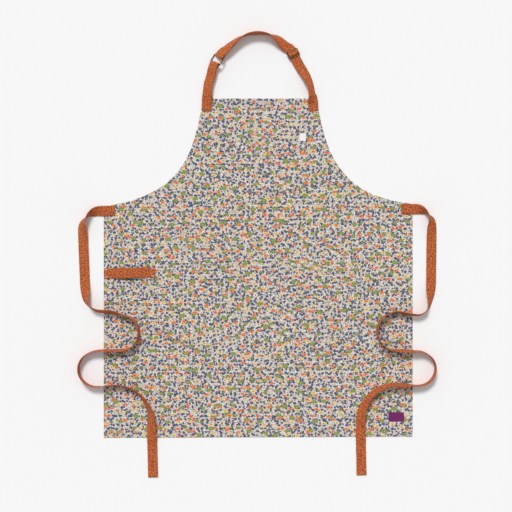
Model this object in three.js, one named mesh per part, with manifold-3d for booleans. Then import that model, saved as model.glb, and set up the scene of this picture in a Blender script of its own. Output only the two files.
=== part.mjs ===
// A full bib apron, laid flat with its face up: a printed cotton panel with three patch pockets,
// webbing neck strap and waist ties, antique brass fittings, a towel loop and two small labels.
// Millimetres. X runs across the apron, Y from the hem to the neck and Z up from the table.
// The origin is on the panel's underside, at the middle of its waist line.
import * as THREE from 'three';
import { mergeVertices } from 'three/addons/utils/BufferGeometryUtils.js';
import Module from 'manifold-3d';

// Walls and clearances
const cloth = 1.2;
const hemFold = 0.6;
const webbing = 1.6;
const labelCloth = 1.0;
const air = 0.35;
const edgeRound = 0.3;

// Panel
const skirtHalfWidth = 391.7;
const skirtLength = 589;
const bibHeight = 270;
const bibHalfWidth = 146.8;
const bibShift = 4.2;
const waistRise = 2.5;
const hemRise = 1.5;
const hemWidth = 11;
// The armhole is one curve. Its ends and pulls are shares of the armhole's height and width.
const armhole = { sideLine: 0.074, pullDown: 0.384, pullOut: 0.087, pullIn: 0.83, pullUp: 0.084 };
const armholeSteps = 26;
const bibShiftFrom = 0.37;

// Skirt pockets, with a pointed bottom
const pocketWidth = 209;
const pocketSide = 172;
const pocketPoint = 43;
const pocketDrop = 154.2;
const pocketSpacing = 305.4;
const pocketShift = 3.1;

// Bib pocket, with clipped bottom corners
const bibPocketWidth = 130.8;
const bibPocketHeight = 143.8;
const bibPocketDrop = 88;
const bibPocketShift = 54.4;
const bibPocketClip = { across: 20, up: 32 };

// Labels
const tagWidth = 16;
const tagHeight = 18.5;
const tagInset = 3.2;
const tagDrop = 1;
const labelWidth = 38.6;
const labelHeight = 21.8;
const labelFromSide = 41.2;
const labelFromHem = 50.8;
const labelTilt = 0.02;

// Webbing
const strapWidth = 25.4;
const strapStep = 6;
const neckPatch = 31;
const patchLean = { right: 4, left: 1.2 };
const sewnRoll = { right: 24, left: 4 };
const tiePatch = 28.5;
const tieDrop = 12.5;
const tieTilt = 1.5;
const layerGap = 0.35;
const settle = 0.12;

// Towel loop
const towelLoopLength = 129.5;
const towelLoopDrop = 172.2;
const towelLoopRise = 2.9;
const towelLoopBow = 6;
const towelLoopEnd = 12;
const towelLoopRamp = 34;
const towelLoopInset = 0.6;

// Brass fittings: sizes are between the middles of the bars
const ringWire = 2.8;
const ringLength = 22;
const ringSlack = 1.2;
const ringCorner = 2.6;
const ringSkew = THREE.MathUtils.degToRad(7);
const sliderWire = 2.2;
const sliderLength = 19;
const sliderSlack = 0.5;
const sliderCorner = 3;
const wireSides = 10;

// Neck loop: places are shares of half the distance between the sewn ends and of the loop's rise
// above the bib. A heading is the way the strap runs there, in degrees from the X axis, and a roll
// is how far the strap's inner edge is turned up from lying flat.
const neckRise = 166;
const sliderPose = { across: 0.628, up: 0.682, heading: 116.6, roll: 4 };
const ringPose = { across: -0.8076, up: 0.583, heading: 237.6, roll: 27.6 };
const sliderSeat = 12.5;
const ringSeatLength = 13;
const seatPull = 6;
const strapRoute = [
  { across: 0.987, up: 0.045, roll: 41 },
  { across: 0.973, up: 0.13, roll: 49 },
  { across: 0.938, up: 0.235, roll: 43 },
  { across: 0.867, up: 0.352, roll: 28 },
  { across: 0.778, up: 0.46, roll: 8 },
];
const arcRoute = [
  { across: 0.503, up: 0.784, roll: 8 },
  { across: 0.448, up: 0.818, roll: 14 },
  { across: 0.337, up: 0.898, roll: 42 },
  { across: 0.236, up: 0.95, roll: 72 },
  { across: 0.106, up: 0.978, roll: 88 },
  { across: -0.055, up: 0.988, roll: 92 },
  { across: -0.22, up: 0.97, roll: 87 },
  { across: -0.391, up: 0.911, roll: 69 },
  { across: -0.507, up: 0.84, roll: 57 },
  { across: -0.63, up: 0.748, roll: 38 },
];
const stubRoute = [
  { across: -0.993, up: 0.045, roll: 14 },
  { across: -0.989, up: 0.13, roll: 28 },
  { across: -0.968, up: 0.235, roll: 28 },
  { across: -0.926, up: 0.34, roll: 24 },
];

// Waist ties: each row is a straight run and the bend after it. Runs and bend radii are shares of
// the tie's free length, and turns are degrees, positive towards the hem from the outside in.
// Rolls are given at the bend's start, middle and end: 0 lies face up, -90 stands on its outer
// edge, -180 lies face down.
const tieLength = 1050;
const leftTie = [
  { run: 0.0085, turn: 90.8, radius: 0.0437, start: -8, middle: -88, end: -158 },
  { run: 0.039, turn: 0, radius: 0, start: -178, middle: -178, end: -178 },
  { run: 0.0648, turn: 0, radius: 0, start: -180, middle: -180, end: -180 },
  { run: 0.0217, turn: 3, radius: 0.2888, start: -178, middle: -174, end: -168 },
  { run: 0.0219, turn: 79.8, radius: 0.0377, start: -140, middle: -104, end: -110 },
  { run: 0.0254, turn: -15, radius: 0.1408, start: -114, middle: -104, end: -91 },
  { run: 0.0062, turn: -159.4, radius: 0.042, start: -86, middle: -85, end: -98 },
  { run: 0.0467, turn: 12.4, radius: 0.1143, start: -96, middle: -94, end: -92 },
  { run: 0, turn: 171.7, radius: 0.0427, start: -91, middle: -88, end: -93 },
  { run: 0.0344, turn: 0, radius: 0, start: -103, middle: -103, end: -103 },
  { run: 0, turn: -93.4, radius: 0.0873, start: -103, middle: -114, end: -142 },
  { run: 0.0286, turn: 0, radius: 0, start: -165, middle: -165, end: -165 },
  { run: 0.0286, turn: 0, radius: 0, start: -180, middle: -180, end: -180 },
  { run: 0.0811, turn: 0, radius: 0, start: -180, middle: -180, end: -180 },
];
const rightTie = [
  { run: 0.0078, turn: 89.1, radius: 0.0396, start: -8, middle: -88, end: -156 },
  { run: 0.039, turn: 0, radius: 0, start: -178, middle: -178, end: -178 },
  { run: 0.0648, turn: 0, radius: 0, start: -180, middle: -180, end: -180 },
  { run: 0.0238, turn: 5.9, radius: 0.2921, start: -177, middle: -173, end: -160 },
  { run: 0.0308, turn: 94.2, radius: 0.0315, start: -118, middle: -99, end: -104 },
  { run: 0.0347, turn: -188.6, radius: 0.0463, start: -102, middle: -85, end: -98 },
  { run: 0.0154, turn: 0, radius: 0, start: -103, middle: -103, end: -103 },
  { run: 0.0406, turn: 180.2, radius: 0.0412, start: -94, middle: -88, end: -90 },
  { run: 0.03, turn: 2.3, radius: 0.1153, start: -78, middle: -75, end: -76 },
  { run: 0.0095, turn: -95.6, radius: 0.0856, start: -76, middle: -66, end: -22 },
  { run: 0.0286, turn: 0, radius: 0, start: 0, middle: 0, end: 0 },
  { run: 0.1045, turn: 0, radius: 0, start: 0, middle: 0, end: 0 },
];

const hemTop = cloth + hemFold;
const rampFrom = 3;
const rampLength = 18;
const zAxis = new THREE.Vector3(0, 0, 1);

// A ramp from 0 to 1 that is level at both ends
const ease = (share) => THREE.MathUtils.smootherstep(share, 0, 1);

// A closed solid from loops with equal numbers of points, each loop counter-clockwise seen from
// the loops after it: walls between neighbours, and the cap's triangles on both ends. Walls that
// twist meet at a middle point of their own, so that opposite faces keep their distance.
function stackedLoops(loops, cap, twisting = []) {
  const count = loops[0].length;
  const points = loops.flat();
  const faces = [];
  for (let ring = 0; ring < loops.length - 1; ring += 1) {
    for (let step = 0; step < count; step += 1) {
      const next = (step + 1) % count;
      const a = ring * count + step;
      const b = ring * count + next;
      if (twisting.includes(step)) {
        const middle = new THREE.Vector3();
        for (const corner of [a, b, b + count, a + count]) middle.addScaledVector(points[corner], 1 / 4);
        const m = points.push(middle) - 1;
        faces.push(a, b, m, b, b + count, m, b + count, a + count, m, a + count, a, m);
      } else {
        faces.push(a, b, b + count, a, b + count, a + count);
      }
    }
  }
  const positions = points.flatMap((point) => point.toArray());
  const last = (loops.length - 1) * count;
  for (const [a, b, c] of cap) faces.push(c, b, a, last + a, last + b, last + c);
  const geometry = new THREE.BufferGeometry();
  geometry.setAttribute('position', new THREE.Float32BufferAttribute(positions, 3));
  geometry.setIndex(faces);
  geometry.computeVertexNormals();
  return geometry;
}

// Moves each side of a counter-clockwise outline inwards by a distance, with mitred corners.
function inset(outline, distance) {
  const count = outline.length;
  return outline.map((point, index) => {
    const before = outline[(index + count - 1) % count];
    const after = outline[(index + 1) % count];
    const first = new THREE.Vector2(before.y - point.y, point.x - before.x).normalize();
    const second = new THREE.Vector2(point.y - after.y, after.x - point.x).normalize();
    const mitre = first.clone().add(second).multiplyScalar(distance / (1 + first.dot(second)));
    return point.clone().add(mitre);
  });
}

const atHeight = (outline, z) => outline.map((point) => new THREE.Vector3(point.x, point.y, z));

// A flat piece of cloth with softly rounded edges, from its outline and its lowest height
function flatPiece(outline, bottom, thickness) {
  const edge = inset(outline, edgeRound);
  const loops = [
    atHeight(edge, bottom),
    atHeight(outline, bottom + edgeRound),
    atHeight(outline, bottom + thickness - edgeRound),
    atHeight(edge, bottom + thickness),
  ];
  return stackedLoops(loops, THREE.ShapeUtils.triangulateShape(outline, []));
}

// The bib is eased sideways above the waist, where it lies a little off the skirt's middle.
const bibShiftAt = (y) => bibShift * ease(y / (bibShiftFrom * bibHeight));

// One armhole, from the waist corner up to the bib's top corner. Side is 1 on the right.
function armholeLine(side) {
  const width = skirtHalfWidth - bibHalfWidth;
  const sideLineEnd = bibHeight * (1 - armhole.sideLine);
  const curve = new THREE.CubicBezierCurve(
    new THREE.Vector2(skirtHalfWidth, side * waistRise),
    new THREE.Vector2(skirtHalfWidth - armhole.pullIn * width, side * waistRise + armhole.pullUp * bibHeight),
    new THREE.Vector2(bibHalfWidth + armhole.pullOut * width, sideLineEnd - armhole.pullDown * bibHeight),
    new THREE.Vector2(bibHalfWidth, sideLineEnd),
  );
  const points = [...curve.getPoints(armholeSteps), new THREE.Vector2(bibHalfWidth, bibHeight)];
  return points.map((point) => new THREE.Vector2(side * point.x + bibShiftAt(point.y), point.y));
}

// The panel's outline, counter-clockwise from the hem's left corner
const panelOutline = [
  new THREE.Vector2(-skirtHalfWidth, -skirtLength - hemRise),
  new THREE.Vector2(skirtHalfWidth, -skirtLength + hemRise),
  ...armholeLine(1),
  ...armholeLine(-1).reverse(),
];

// How far a point lies inside the panel's outline, negative outside
function distanceInside(x, y) {
  let nearest = Infinity;
  let inside = false;
  panelOutline.forEach((start, index) => {
    const end = panelOutline[(index + 1) % panelOutline.length];
    const alongX = end.x - start.x;
    const alongY = end.y - start.y;
    const share = ((x - start.x) * alongX + (y - start.y) * alongY) / (alongX ** 2 + alongY ** 2);
    const reach = THREE.MathUtils.clamp(share, 0, 1);
    nearest = Math.min(nearest, Math.hypot(x - start.x - reach * alongX, y - start.y - reach * alongY));
    const straddles = start.y > y !== end.y > y;
    if (straddles && x < start.x + (alongX * (y - start.y)) / alongY) inside = !inside;
  });
  return inside ? nearest : -nearest;
}

// The height that a strap rests at: the table, or the panel's hem or cloth, with a ramp between
function restingHeight(x, y) {
  const depth = distanceInside(x, y);
  const onHem = (hemTop + air) * (1 - ease((-depth - rampFrom) / rampLength));
  return onHem - hemFold * ease((depth - hemWidth - rampFrom) / rampLength);
}

// Panel: one cloth with a turned hem all round
function panel() {
  const loops = [
    atHeight(inset(panelOutline, edgeRound), 0),
    atHeight(panelOutline, edgeRound),
    atHeight(panelOutline, hemTop - edgeRound),
    atHeight(inset(panelOutline, edgeRound), hemTop),
    atHeight(inset(panelOutline, hemWidth - hemFold), hemTop),
    atHeight(inset(panelOutline, hemWidth), cloth),
  ];
  return stackedLoops(loops, THREE.ShapeUtils.triangulateShape(panelOutline, []));
}

const outlineFrom = (rows) => rows.map(([x, y]) => new THREE.Vector2(x, y));

// Skirt pocket: straight sides and a shallow point at the bottom
function skirtPocket(side) {
  const middle = pocketShift + (side * pocketSpacing) / 2;
  const left = middle - pocketWidth / 2;
  const right = middle + pocketWidth / 2;
  const low = -pocketDrop - pocketSide;
  const corners = [
    [left, low],
    [middle, low - pocketPoint],
    [right, low],
    [right, -pocketDrop],
    [left, -pocketDrop],
  ];
  return flatPiece(outlineFrom(corners), cloth + air, cloth);
}

const bibPocketMiddle = bibShift + bibPocketShift;
const bibPocketTop = bibHeight - bibPocketDrop;

function bibPocket() {
  const left = bibPocketMiddle - bibPocketWidth / 2;
  const right = bibPocketMiddle + bibPocketWidth / 2;
  const low = bibPocketTop - bibPocketHeight;
  const corners = [
    [left + bibPocketClip.across, low],
    [right - bibPocketClip.across, low],
    [right, low + bibPocketClip.up],
    [right, bibPocketTop],
    [left, bibPocketTop],
    [left, low + bibPocketClip.up],
  ];
  return flatPiece(outlineFrom(corners), cloth + air, cloth);
}

// A plain rectangular label about its own middle
function label(width, height) {
  const corners = [
    [-width / 2, -height / 2],
    [width / 2, -height / 2],
    [width / 2, height / 2],
    [-width / 2, height / 2],
  ];
  return flatPiece(outlineFrom(corners), 0, labelCloth);
}

// Rises between stations are joined by a cubic that never passes its stations.
function steadyTable(stations) {
  const slope = stations.slice(1).map((station, i) => {
    const length = Math.max(station.at - stations[i].at, 1e-6);
    return (station.value - stations[i].value) / length;
  });
  const tangent = stations.map((_, i) => {
    const before = slope[i - 1] ?? 0;
    const after = slope[i] ?? 0;
    return before * after > 0 ? (2 * before * after) / (before + after) : 0;
  });
  return (at) => {
    let i = stations.findIndex((station) => station.at > at) - 1;
    if (i === -2) i = stations.length - 2;
    i = Math.max(i, 0);
    const length = Math.max(stations[i + 1].at - stations[i].at, 1e-6);
    const share = THREE.MathUtils.clamp((at - stations[i].at) / length, 0, 1);
    const left = 1 - share;
    const start = (1 + 2 * share) * left ** 2 * stations[i].value + share * left ** 2 * length * tangent[i];
    const next = share ** 2 * (3 - 2 * share) * stations[i + 1].value;
    return start + next - share ** 2 * left * length * tangent[i + 1];
  };
}

// Sets a strap on what lies under it. Samples are plan points with a roll in degrees and the
// thickness of what the strap brings there. The handed value is 1 where the edge that a positive
// roll turns up is on the left of travel.
function layDown(samples, handed) {
  const frames = samples.map((sample, index) => {
    const before = samples[Math.max(index - 1, 0)];
    const after = samples[Math.min(index + 1, samples.length - 1)];
    const along = new THREE.Vector3(after.x - before.x, after.y - before.y, 0).normalize();
    const level = new THREE.Vector3(-along.y, along.x, 0).multiplyScalar(handed);
    const roll = THREE.MathUtils.degToRad(sample.roll);
    const across = level.multiplyScalar(Math.cos(roll)).addScaledVector(zAxis, Math.sin(roll));
    const reach = strapWidth / 2;
    const under = [-reach, 0, reach].map((k) => restingHeight(sample.x + k * across.x, sample.y + k * across.y));
    const lean = reach * Math.abs(Math.sin(roll)) + (sample.pack / 2) * Math.abs(Math.cos(roll));
    const at = new THREE.Vector3(sample.x, sample.y, Math.max(...under) + lean + settle);
    return { at, across };
  });
  return squareUp(frames);
}

// Gives each frame the direction of travel and the webbing's normal, square to its width.
function squareUp(frames) {
  return frames.map(({ at, across }, index) => {
    const before = frames[Math.max(index - 1, 0)].at;
    const after = frames[Math.min(index + 1, frames.length - 1)].at;
    const along = after.clone().sub(before).normalize();
    const width = across.clone().addScaledVector(along, -across.dot(along)).normalize();
    return { at, across: width, along, up: along.clone().cross(width) };
  });
}

// The webbing itself: a flat section carried along frames
function strapSolid(stations) {
  const corners = [[1, 1], [-1, 1], [-1, -1], [1, -1]];
  const broadFaces = [0, 2];
  const loops = squareUp(stations).map((squared, index) => {
    const { at, across, up } = stations[index].up ? stations[index] : squared;
    return corners.map(([side, face]) =>
      at.clone().addScaledVector(across, (side * strapWidth) / 2).addScaledVector(up, (face * webbing) / 2),
    );
  });
  return stackedLoops(loops, [[0, 1, 2], [0, 2, 3]], broadFaces);
}

// Waist tie: sewn on the panel's corner, then runs and bends to its free end
function waistTie(side, rows) {
  const tilt = THREE.MathUtils.degToRad(tieTilt);
  const patchY = side * waistRise - tieDrop + tiePatch * Math.tan(tilt);
  const place = new THREE.Vector2(skirtHalfWidth - tiePatch, patchY);
  const samples = [];
  const rolls = [{ at: 0, value: 0 }, { at: tiePatch, value: 0 }];
  let heading = -tilt;
  let travelled = 0;
  const advance = (length, turn) => {
    const steps = Math.max(1, Math.round(length / strapStep));
    for (let step = 0; step < steps; step += 1) {
      samples.push({ x: side * place.x, y: place.y, at: travelled });
      heading -= turn / steps / 2;
      place.x += (Math.cos(heading) * length) / steps;
      place.y += (Math.sin(heading) * length) / steps;
      heading -= turn / steps / 2;
      travelled += length / steps;
    }
  };
  advance(tiePatch, 0);
  for (const { run, turn, radius, start, middle, end } of rows) {
    const bend = THREE.MathUtils.degToRad(turn);
    const arc = Math.abs(bend) * radius * tieLength;
    if (run > 0) advance(run * tieLength, 0);
    rolls.push({ at: travelled, value: start });
    if (arc > 0) {
      advance(arc, bend);
      rolls.push({ at: travelled - arc / 2, value: middle }, { at: travelled, value: end });
    }
  }
  samples.push({ x: side * place.x, y: place.y, at: travelled });
  const rollAt = steadyTable(rolls);
  return layDown(samples.map((s) => ({ ...s, roll: rollAt(s.at), pack: webbing })), -side);
}

// Neck loop
const neckHalfSpan = bibHalfWidth - strapWidth / 2;
const layerOffset = (webbing + layerGap) / 2;
const doublePack = 2 * webbing + layerGap;
const foldRadius = ringWire / 2 + air + webbing / 2;
const foldSlack = (strapWidth / 2) * Math.tan(ringSkew) + 0.1;
const sliderBarHeight = layerOffset + webbing / 2 + air + sliderWire / 2;
const wrapRadius = sliderWire / 2 + air + webbing / 2;
const ringWidth = strapWidth / Math.cos(ringSkew) + 2 * ringSlack + ringWire;
const sliderWidth = strapWidth + 2 * sliderSlack + sliderWire;

const neckPlace = ({ across, up }) =>
  new THREE.Vector3(bibShift + across * neckHalfSpan, bibHeight + up * neckRise, 0);

// A fitting's or strap seat's frame: travel, the width turned up by the roll, and the normal
function poseFrame({ across, up, heading, roll }, height) {
  const turn = THREE.MathUtils.degToRad(heading);
  const tilt = THREE.MathUtils.degToRad(roll);
  const along = new THREE.Vector3(Math.cos(turn), Math.sin(turn), 0);
  const level = new THREE.Vector3(-along.y, along.x, 0);
  const width = level.multiplyScalar(Math.cos(tilt)).addScaledVector(zAxis, Math.sin(tilt));
  const at = neckPlace({ across, up }).setZ(height(tilt) + settle);
  return { at, along, across: width, up: along.clone().cross(width) };
}

const sliderFrame = poseFrame(
  sliderPose,
  (tilt) => (strapWidth / 2) * Math.sin(tilt) + (doublePack / 2) * Math.cos(tilt),
);
const ringFrame = poseFrame(ringPose, (tilt) => {
  const fold = (strapWidth / 2) * Math.sin(tilt) + (foldRadius + webbing / 2) * Math.cos(tilt);
  const wire = (ringWidth / 2) * Math.sin(tilt) + ringWire / 2;
  return Math.max(fold, wire);
});

// The seat of a folded strap on one bar of the ring: towards is -1 for the long strap, which
// arrives with the ring's travel, and 1 for the short one, which arrives against it.
function ringSeat(towards) {
  const turn = new THREE.Quaternion().setFromAxisAngle(ringFrame.up, towards * ringSkew);
  const at = ringFrame.at.clone().addScaledVector(ringFrame.along, (towards * ringLength) / 2);
  const along = ringFrame.along.clone().applyQuaternion(turn).multiplyScalar(-towards);
  return { at, along, across: ringFrame.across.clone().applyQuaternion(turn) };
}

// Frames through plan rows from one seat to the next. The pack grows along the way.
function neckFrames(rows, from, to, handed, packAt) {
  const plan = [from.before, from.at, ...rows.map(neckPlace), to.at, to.after].map(
    (point) => new THREE.Vector3(point.x, point.y, 0),
  );
  const curve = new THREE.CatmullRomCurve3(plan, false, 'centripetal');
  const pieces = plan.length - 1;
  const rollAt = steadyTable([
    { at: 1, value: from.roll },
    ...rows.map((row, index) => ({ at: index + 2, value: row.roll })),
    { at: pieces - 1, value: to.roll },
  ]);
  const samples = [];
  for (let piece = 1; piece < pieces - 1; piece += 1) {
    const length = plan[piece].distanceTo(plan[piece + 1]);
    const steps = Math.max(2, Math.round(length / strapStep));
    for (let step = 0; step < steps; step += 1) samples.push(piece + step / steps);
  }
  samples.push(pieces - 1);
  const route = samples.map((at) => {
    const point = curve.getPoint(at / pieces);
    const share = (at - 1) / (pieces - 2);
    return { x: point.x, y: point.y, roll: rollAt(at), pack: packAt(share) };
  });
  const frames = layDown(route, handed);
  const startStep = (from.at.z || frames[0].at.z) - frames[0].at.z;
  const endStep = to.at.z - frames.at(-1).at.z;
  frames.forEach((frame, index) => {
    const share = index / (frames.length - 1);
    frame.at.z += startStep * (1 - ease(3 * share)) + endStep * ease(3 * share - 2);
  });
  return frames;
}

// Straight frames through a seat, from and to distances along its travel
function straightFrames(seat, from, to) {
  const steps = Math.max(2, Math.round(Math.abs(to - from) / strapStep));
  return Array.from({ length: steps + 1 }, (_, step) => {
    const distance = from + ((to - from) * step) / steps;
    return { ...seat, at: seat.at.clone().addScaledVector(seat.along, distance), distance };
  });
}

const rollOf = (seat) => THREE.MathUtils.radToDeg(Math.asin(seat.across.z));

// A layer beside a frame, with the layer's own face turned as it travels: -1 runs back underneath.
const offsetBy = (frame, height, face) => ({
  at: frame.at.clone().addScaledVector(frame.up, height),
  across: frame.across,
  up: frame.up.clone().multiplyScalar(face),
});

// A strap sewn on the bib leaves its top edge here, leaning in and already turned a little.
function sewnEnd(side) {
  const x = bibShift + side * neckHalfSpan;
  const name = side > 0 ? 'right' : 'left';
  const lean = neckPatch * Math.tan(THREE.MathUtils.degToRad(patchLean[name]));
  const before = new THREE.Vector3(x + side * lean, bibHeight - neckPatch, 0);
  return { at: new THREE.Vector3(x, bibHeight, 0), before, roll: sewnRoll[name] };
}

// The patch on the bib, up to its top edge
function patchFrames(side, pack) {
  const { before, at, roll } = sewnEnd(side);
  const steps = Math.round(neckPatch / strapStep);
  const samples = Array.from({ length: steps + 1 }, (_, step) => {
    const place = before.clone().lerp(at, step / steps);
    return { x: place.x, y: place.y, roll: roll * ease(2 * (step / steps) - 1), pack };
  });
  return layDown(samples, side).slice(0, -1);
}

// Where a route meets a straight seat, at a distance before or after the seat's middle
function seatEnd(seat, distance, beyond) {
  const at = seat.at.clone().addScaledVector(seat.along, distance);
  const next = seat.at.clone().addScaledVector(seat.along, distance + beyond);
  return { at, before: next, after: next, roll: rollOf(seat) };
}

// The half turn that a folded strap makes around a ring's bar, clear of it by the fold's slack
function foldAround(seat, up) {
  const turns = 8;
  const middle = seat.at.clone().addScaledVector(seat.along, foldSlack);
  return Array.from({ length: turns + 1 }, (_, step) => {
    const angle = Math.PI / 2 - (Math.PI * step) / turns;
    const at = middle.clone().addScaledVector(seat.along, foldRadius * Math.cos(angle));
    return { at: at.addScaledVector(up, foldRadius * Math.sin(angle)), across: seat.across };
  });
}

// Layers part towards a fold, so that the bar has room between them.
const foldOpening = 14;
const layerSpread = (distanceToFold) =>
  layerOffset + (foldRadius - layerOffset) * ease(1 - (distanceToFold - foldSlack) / foldOpening);

// Between the slider's outer bars the strap climbs over the middle bar and the end sewn round it.
const humpTop = sliderBarHeight + wrapRadius + webbing + air;
const humpFlat = 0.34 * (sliderLength / 2);
const humpFoot = 0.88 * (sliderLength / 2);
const humpAt = (distance) =>
  layerOffset + (humpTop - layerOffset) * ease((humpFoot - Math.abs(distance)) / (humpFoot - humpFlat));

// Long neck strap: from the bib's right corner through the slider to the ring, round its bar,
// and back underneath to the slider's middle bar
function neckStrap() {
  const start = sewnEnd(1);
  const longSeat = ringSeat(-1);
  const intoSlider = seatEnd(sliderFrame, -sliderSeat, seatPull);
  const packGrows = (share) => webbing + (doublePack - webbing) * ease(3 * share - 2);
  const riser = neckFrames(strapRoute, start, intoSlider, 1, packGrows);
  const sliderRun = straightFrames(sliderFrame, 0, sliderSeat);
  const outOfSlider = seatEnd(sliderFrame, sliderSeat, -seatPull);
  const ringStart = seatEnd(longSeat, -ringSeatLength, seatPull);
  const foldPack = 2 * foldRadius + webbing;
  const packOpens = (share) => doublePack + (foldPack - doublePack) * ease(8 * share - 7);
  const arc = neckFrames(arcRoute, outOfSlider, ringStart, 1, packOpens);
  const leaving = sliderFrame.across.clone().add(arc[0].across).normalize();
  Object.assign(arc[0], { across: leaving, up: sliderFrame.up });
  Object.assign(arc.at(-1), { across: longSeat.across, up: ringFrame.up });
  const ringRun = squareUp(straightFrames(longSeat, -ringSeatLength, foldSlack));

  const riserLift = (index) => layerOffset * ease((3 * index) / (riser.length - 1) - 2);
  const hump = Array.from({ length: 23 }, (_, step) => (step / 11 - 1) * humpFoot);
  const overSlider = [-sliderSeat, ...hump].map((distance) => ({
    at: sliderFrame.at
      .clone()
      .addScaledVector(sliderFrame.along, distance)
      .addScaledVector(sliderFrame.up, humpAt(distance)),
    across: sliderFrame.across,
  }));
  const spreadAt = (frame) => layerSpread(foldSlack - frame.distance);
  const ringRunFrom = straightFrames(longSeat, -ringSeatLength, foldSlack);
  const upperRing = ringRun.map((frame, index) => offsetBy(frame, spreadAt(ringRunFrom[index]), 1));
  const lowerRing = ringRun.map((frame, index) => offsetBy(frame, -spreadAt(ringRunFrom[index]), -1));
  const wrapTurns = 10;
  const wrapSweep = 1.55 * Math.PI;
  const wrap = Array.from({ length: wrapTurns + 1 }, (_, step) => {
    const angle = -Math.PI / 2 - (wrapSweep * step) / wrapTurns;
    return {
      at: sliderFrame.at
        .clone()
        .addScaledVector(sliderFrame.along, wrapRadius * Math.cos(angle))
        .addScaledVector(sliderFrame.up, sliderBarHeight + wrapRadius * Math.sin(angle)),
      across: sliderFrame.across,
    };
  });
  const climbTo = sliderBarHeight - wrapRadius;
  const underSlider = sliderRun
    .filter((frame) => frame.distance > wrapRadius && frame.distance < sliderSeat)
    .reverse()
    .map((frame) => {
      const share = ease((humpFoot - frame.distance) / humpFoot);
      const { at, across } = offsetBy(frame, -layerOffset + (climbTo + layerOffset) * share, -1);
      return { at, across };
    });
  return strapSolid([
    ...patchFrames(1, webbing),
    ...riser.slice(0, -1).map((frame, index) => offsetBy(frame, riserLift(index), 1)),
    ...overSlider,
    ...arc.map((frame) => offsetBy(frame, layerOffset, 1)),
    ...upperRing.slice(1, -1),
    ...foldAround(longSeat, ringFrame.up),
    ...lowerRing.slice(1, -1).reverse(),
    ...arc.map((frame) => offsetBy(frame, -layerOffset, -1)).reverse(),
    ...underSlider,
    ...wrap,
  ]);
}

// Short neck strap: folded round the ring's other bar, with both ends sewn on the bib
function neckStub() {
  const start = sewnEnd(-1);
  const seat = ringSeat(1);
  const end = seatEnd(seat, -ringSeatLength, seatPull);
  const foldPack = 2 * foldRadius + webbing;
  const packOpens = (share) => doublePack + (foldPack - doublePack) * ease(3 * share - 2);
  const face = squareUp([seat, { ...seat, at: seat.at.clone().add(seat.along) }])[0].up;
  const riser = neckFrames(stubRoute, start, end, -1, packOpens);
  const ringRunFrom = straightFrames(seat, -ringSeatLength, foldSlack);
  const ringRun = squareUp(ringRunFrom);
  const patchUp = patchFrames(-1, doublePack);
  const riserUp = squareUp(riser.map((frame) => ({ at: frame.at, across: frame.across })));
  const layer = (face) => [
    ...patchUp.map((frame) => offsetBy(frame, face * layerOffset, face)),
    ...riserUp.slice(0, -1).map((frame) => offsetBy(frame, face * layerOffset, face)),
    ...ringRun.slice(0, -1).map((frame, index) => {
      const spread = layerSpread(foldSlack - ringRunFrom[index].distance);
      return offsetBy(frame, face * spread, face);
    }),
  ];
  return strapSolid([...layer(1), ...foldAround(seat, face), ...layer(-1).reverse()]);
}

// A loop of round wire along a rounded rectangle, its length along X and its width along Y
function wireLoop(length, width, corner, wire) {
  const cornerSteps = 5;
  const centres = [
    [length / 2 - corner, width / 2 - corner],
    [corner - length / 2, width / 2 - corner],
    [corner - length / 2, corner - width / 2],
    [length / 2 - corner, corner - width / 2],
  ];
  const loops = centres.flatMap(([x, y], quarter) =>
    Array.from({ length: cornerSteps + 1 }, (_, step) => {
      const turn = ((quarter + step / cornerSteps) * Math.PI) / 2;
      const out = new THREE.Vector3(Math.cos(turn), Math.sin(turn), 0);
      const middle = new THREE.Vector3(x, y, 0).addScaledVector(out, corner);
      return Array.from({ length: wireSides }, (_, side) => {
        const angle = (2 * Math.PI * side) / wireSides;
        return middle
          .clone()
          .addScaledVector(out, (-Math.cos(angle) * wire) / 2)
          .addScaledVector(zAxis, (Math.sin(angle) * wire) / 2);
      });
    }),
  );
  return stackedLoops([...loops, loops[0]], []);
}

const wasm = await Module();
wasm.setup();

// A manifold-3d solid from a closed geometry
function solidOf(geometry) {
  const bare = new THREE.BufferGeometry();
  bare.setAttribute('position', geometry.getAttribute('position'));
  bare.setIndex(geometry.getIndex());
  const merged = mergeVertices(bare, 1e-4);
  return new wasm.Manifold(
    new wasm.Mesh({
      numProp: 3,
      vertProperties: merged.attributes.position.array,
      triVerts: new Uint32Array(merged.index.array),
    }),
  );
}

function geometryOf(solid) {
  const mesh = solid.getMesh();
  const geometry = new THREE.BufferGeometry();
  geometry.setAttribute('position', new THREE.Float32BufferAttribute(mesh.vertProperties, 3));
  geometry.setIndex(Array.from(mesh.triVerts));
  geometry.computeVertexNormals();
  return geometry;
}

// Slider: a wire loop with a middle bar
function slider() {
  const frame = solidOf(wireLoop(sliderLength, sliderWidth, sliderCorner, sliderWire));
  const bar = new THREE.CylinderGeometry(sliderWire / 2, sliderWire / 2, sliderWidth, wireSides);
  return geometryOf(frame.add(solidOf(bar)));
}

// Towel loop: sewn down at both ends and bowed off the cloth between them
function towelLoop() {
  const steps = Math.round(towelLoopLength / strapStep);
  const stations = Array.from({ length: steps + 1 }, (_, step) => {
    const travelled = (towelLoopLength * step) / steps;
    const fromEnd = Math.min(travelled, towelLoopLength - travelled) - towelLoopEnd;
    const z = hemTop + air + webbing / 2 + towelLoopBow * ease(fromEnd / towelLoopRamp);
    const x = travelled + towelLoopInset - skirtHalfWidth;
    const y = towelLoopRise * (travelled / towelLoopLength - 0.5) - towelLoopDrop;
    return { at: new THREE.Vector3(x, y, z), across: new THREE.Vector3(0, 1, 0) };
  });
  return strapSolid(stations);
}

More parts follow.
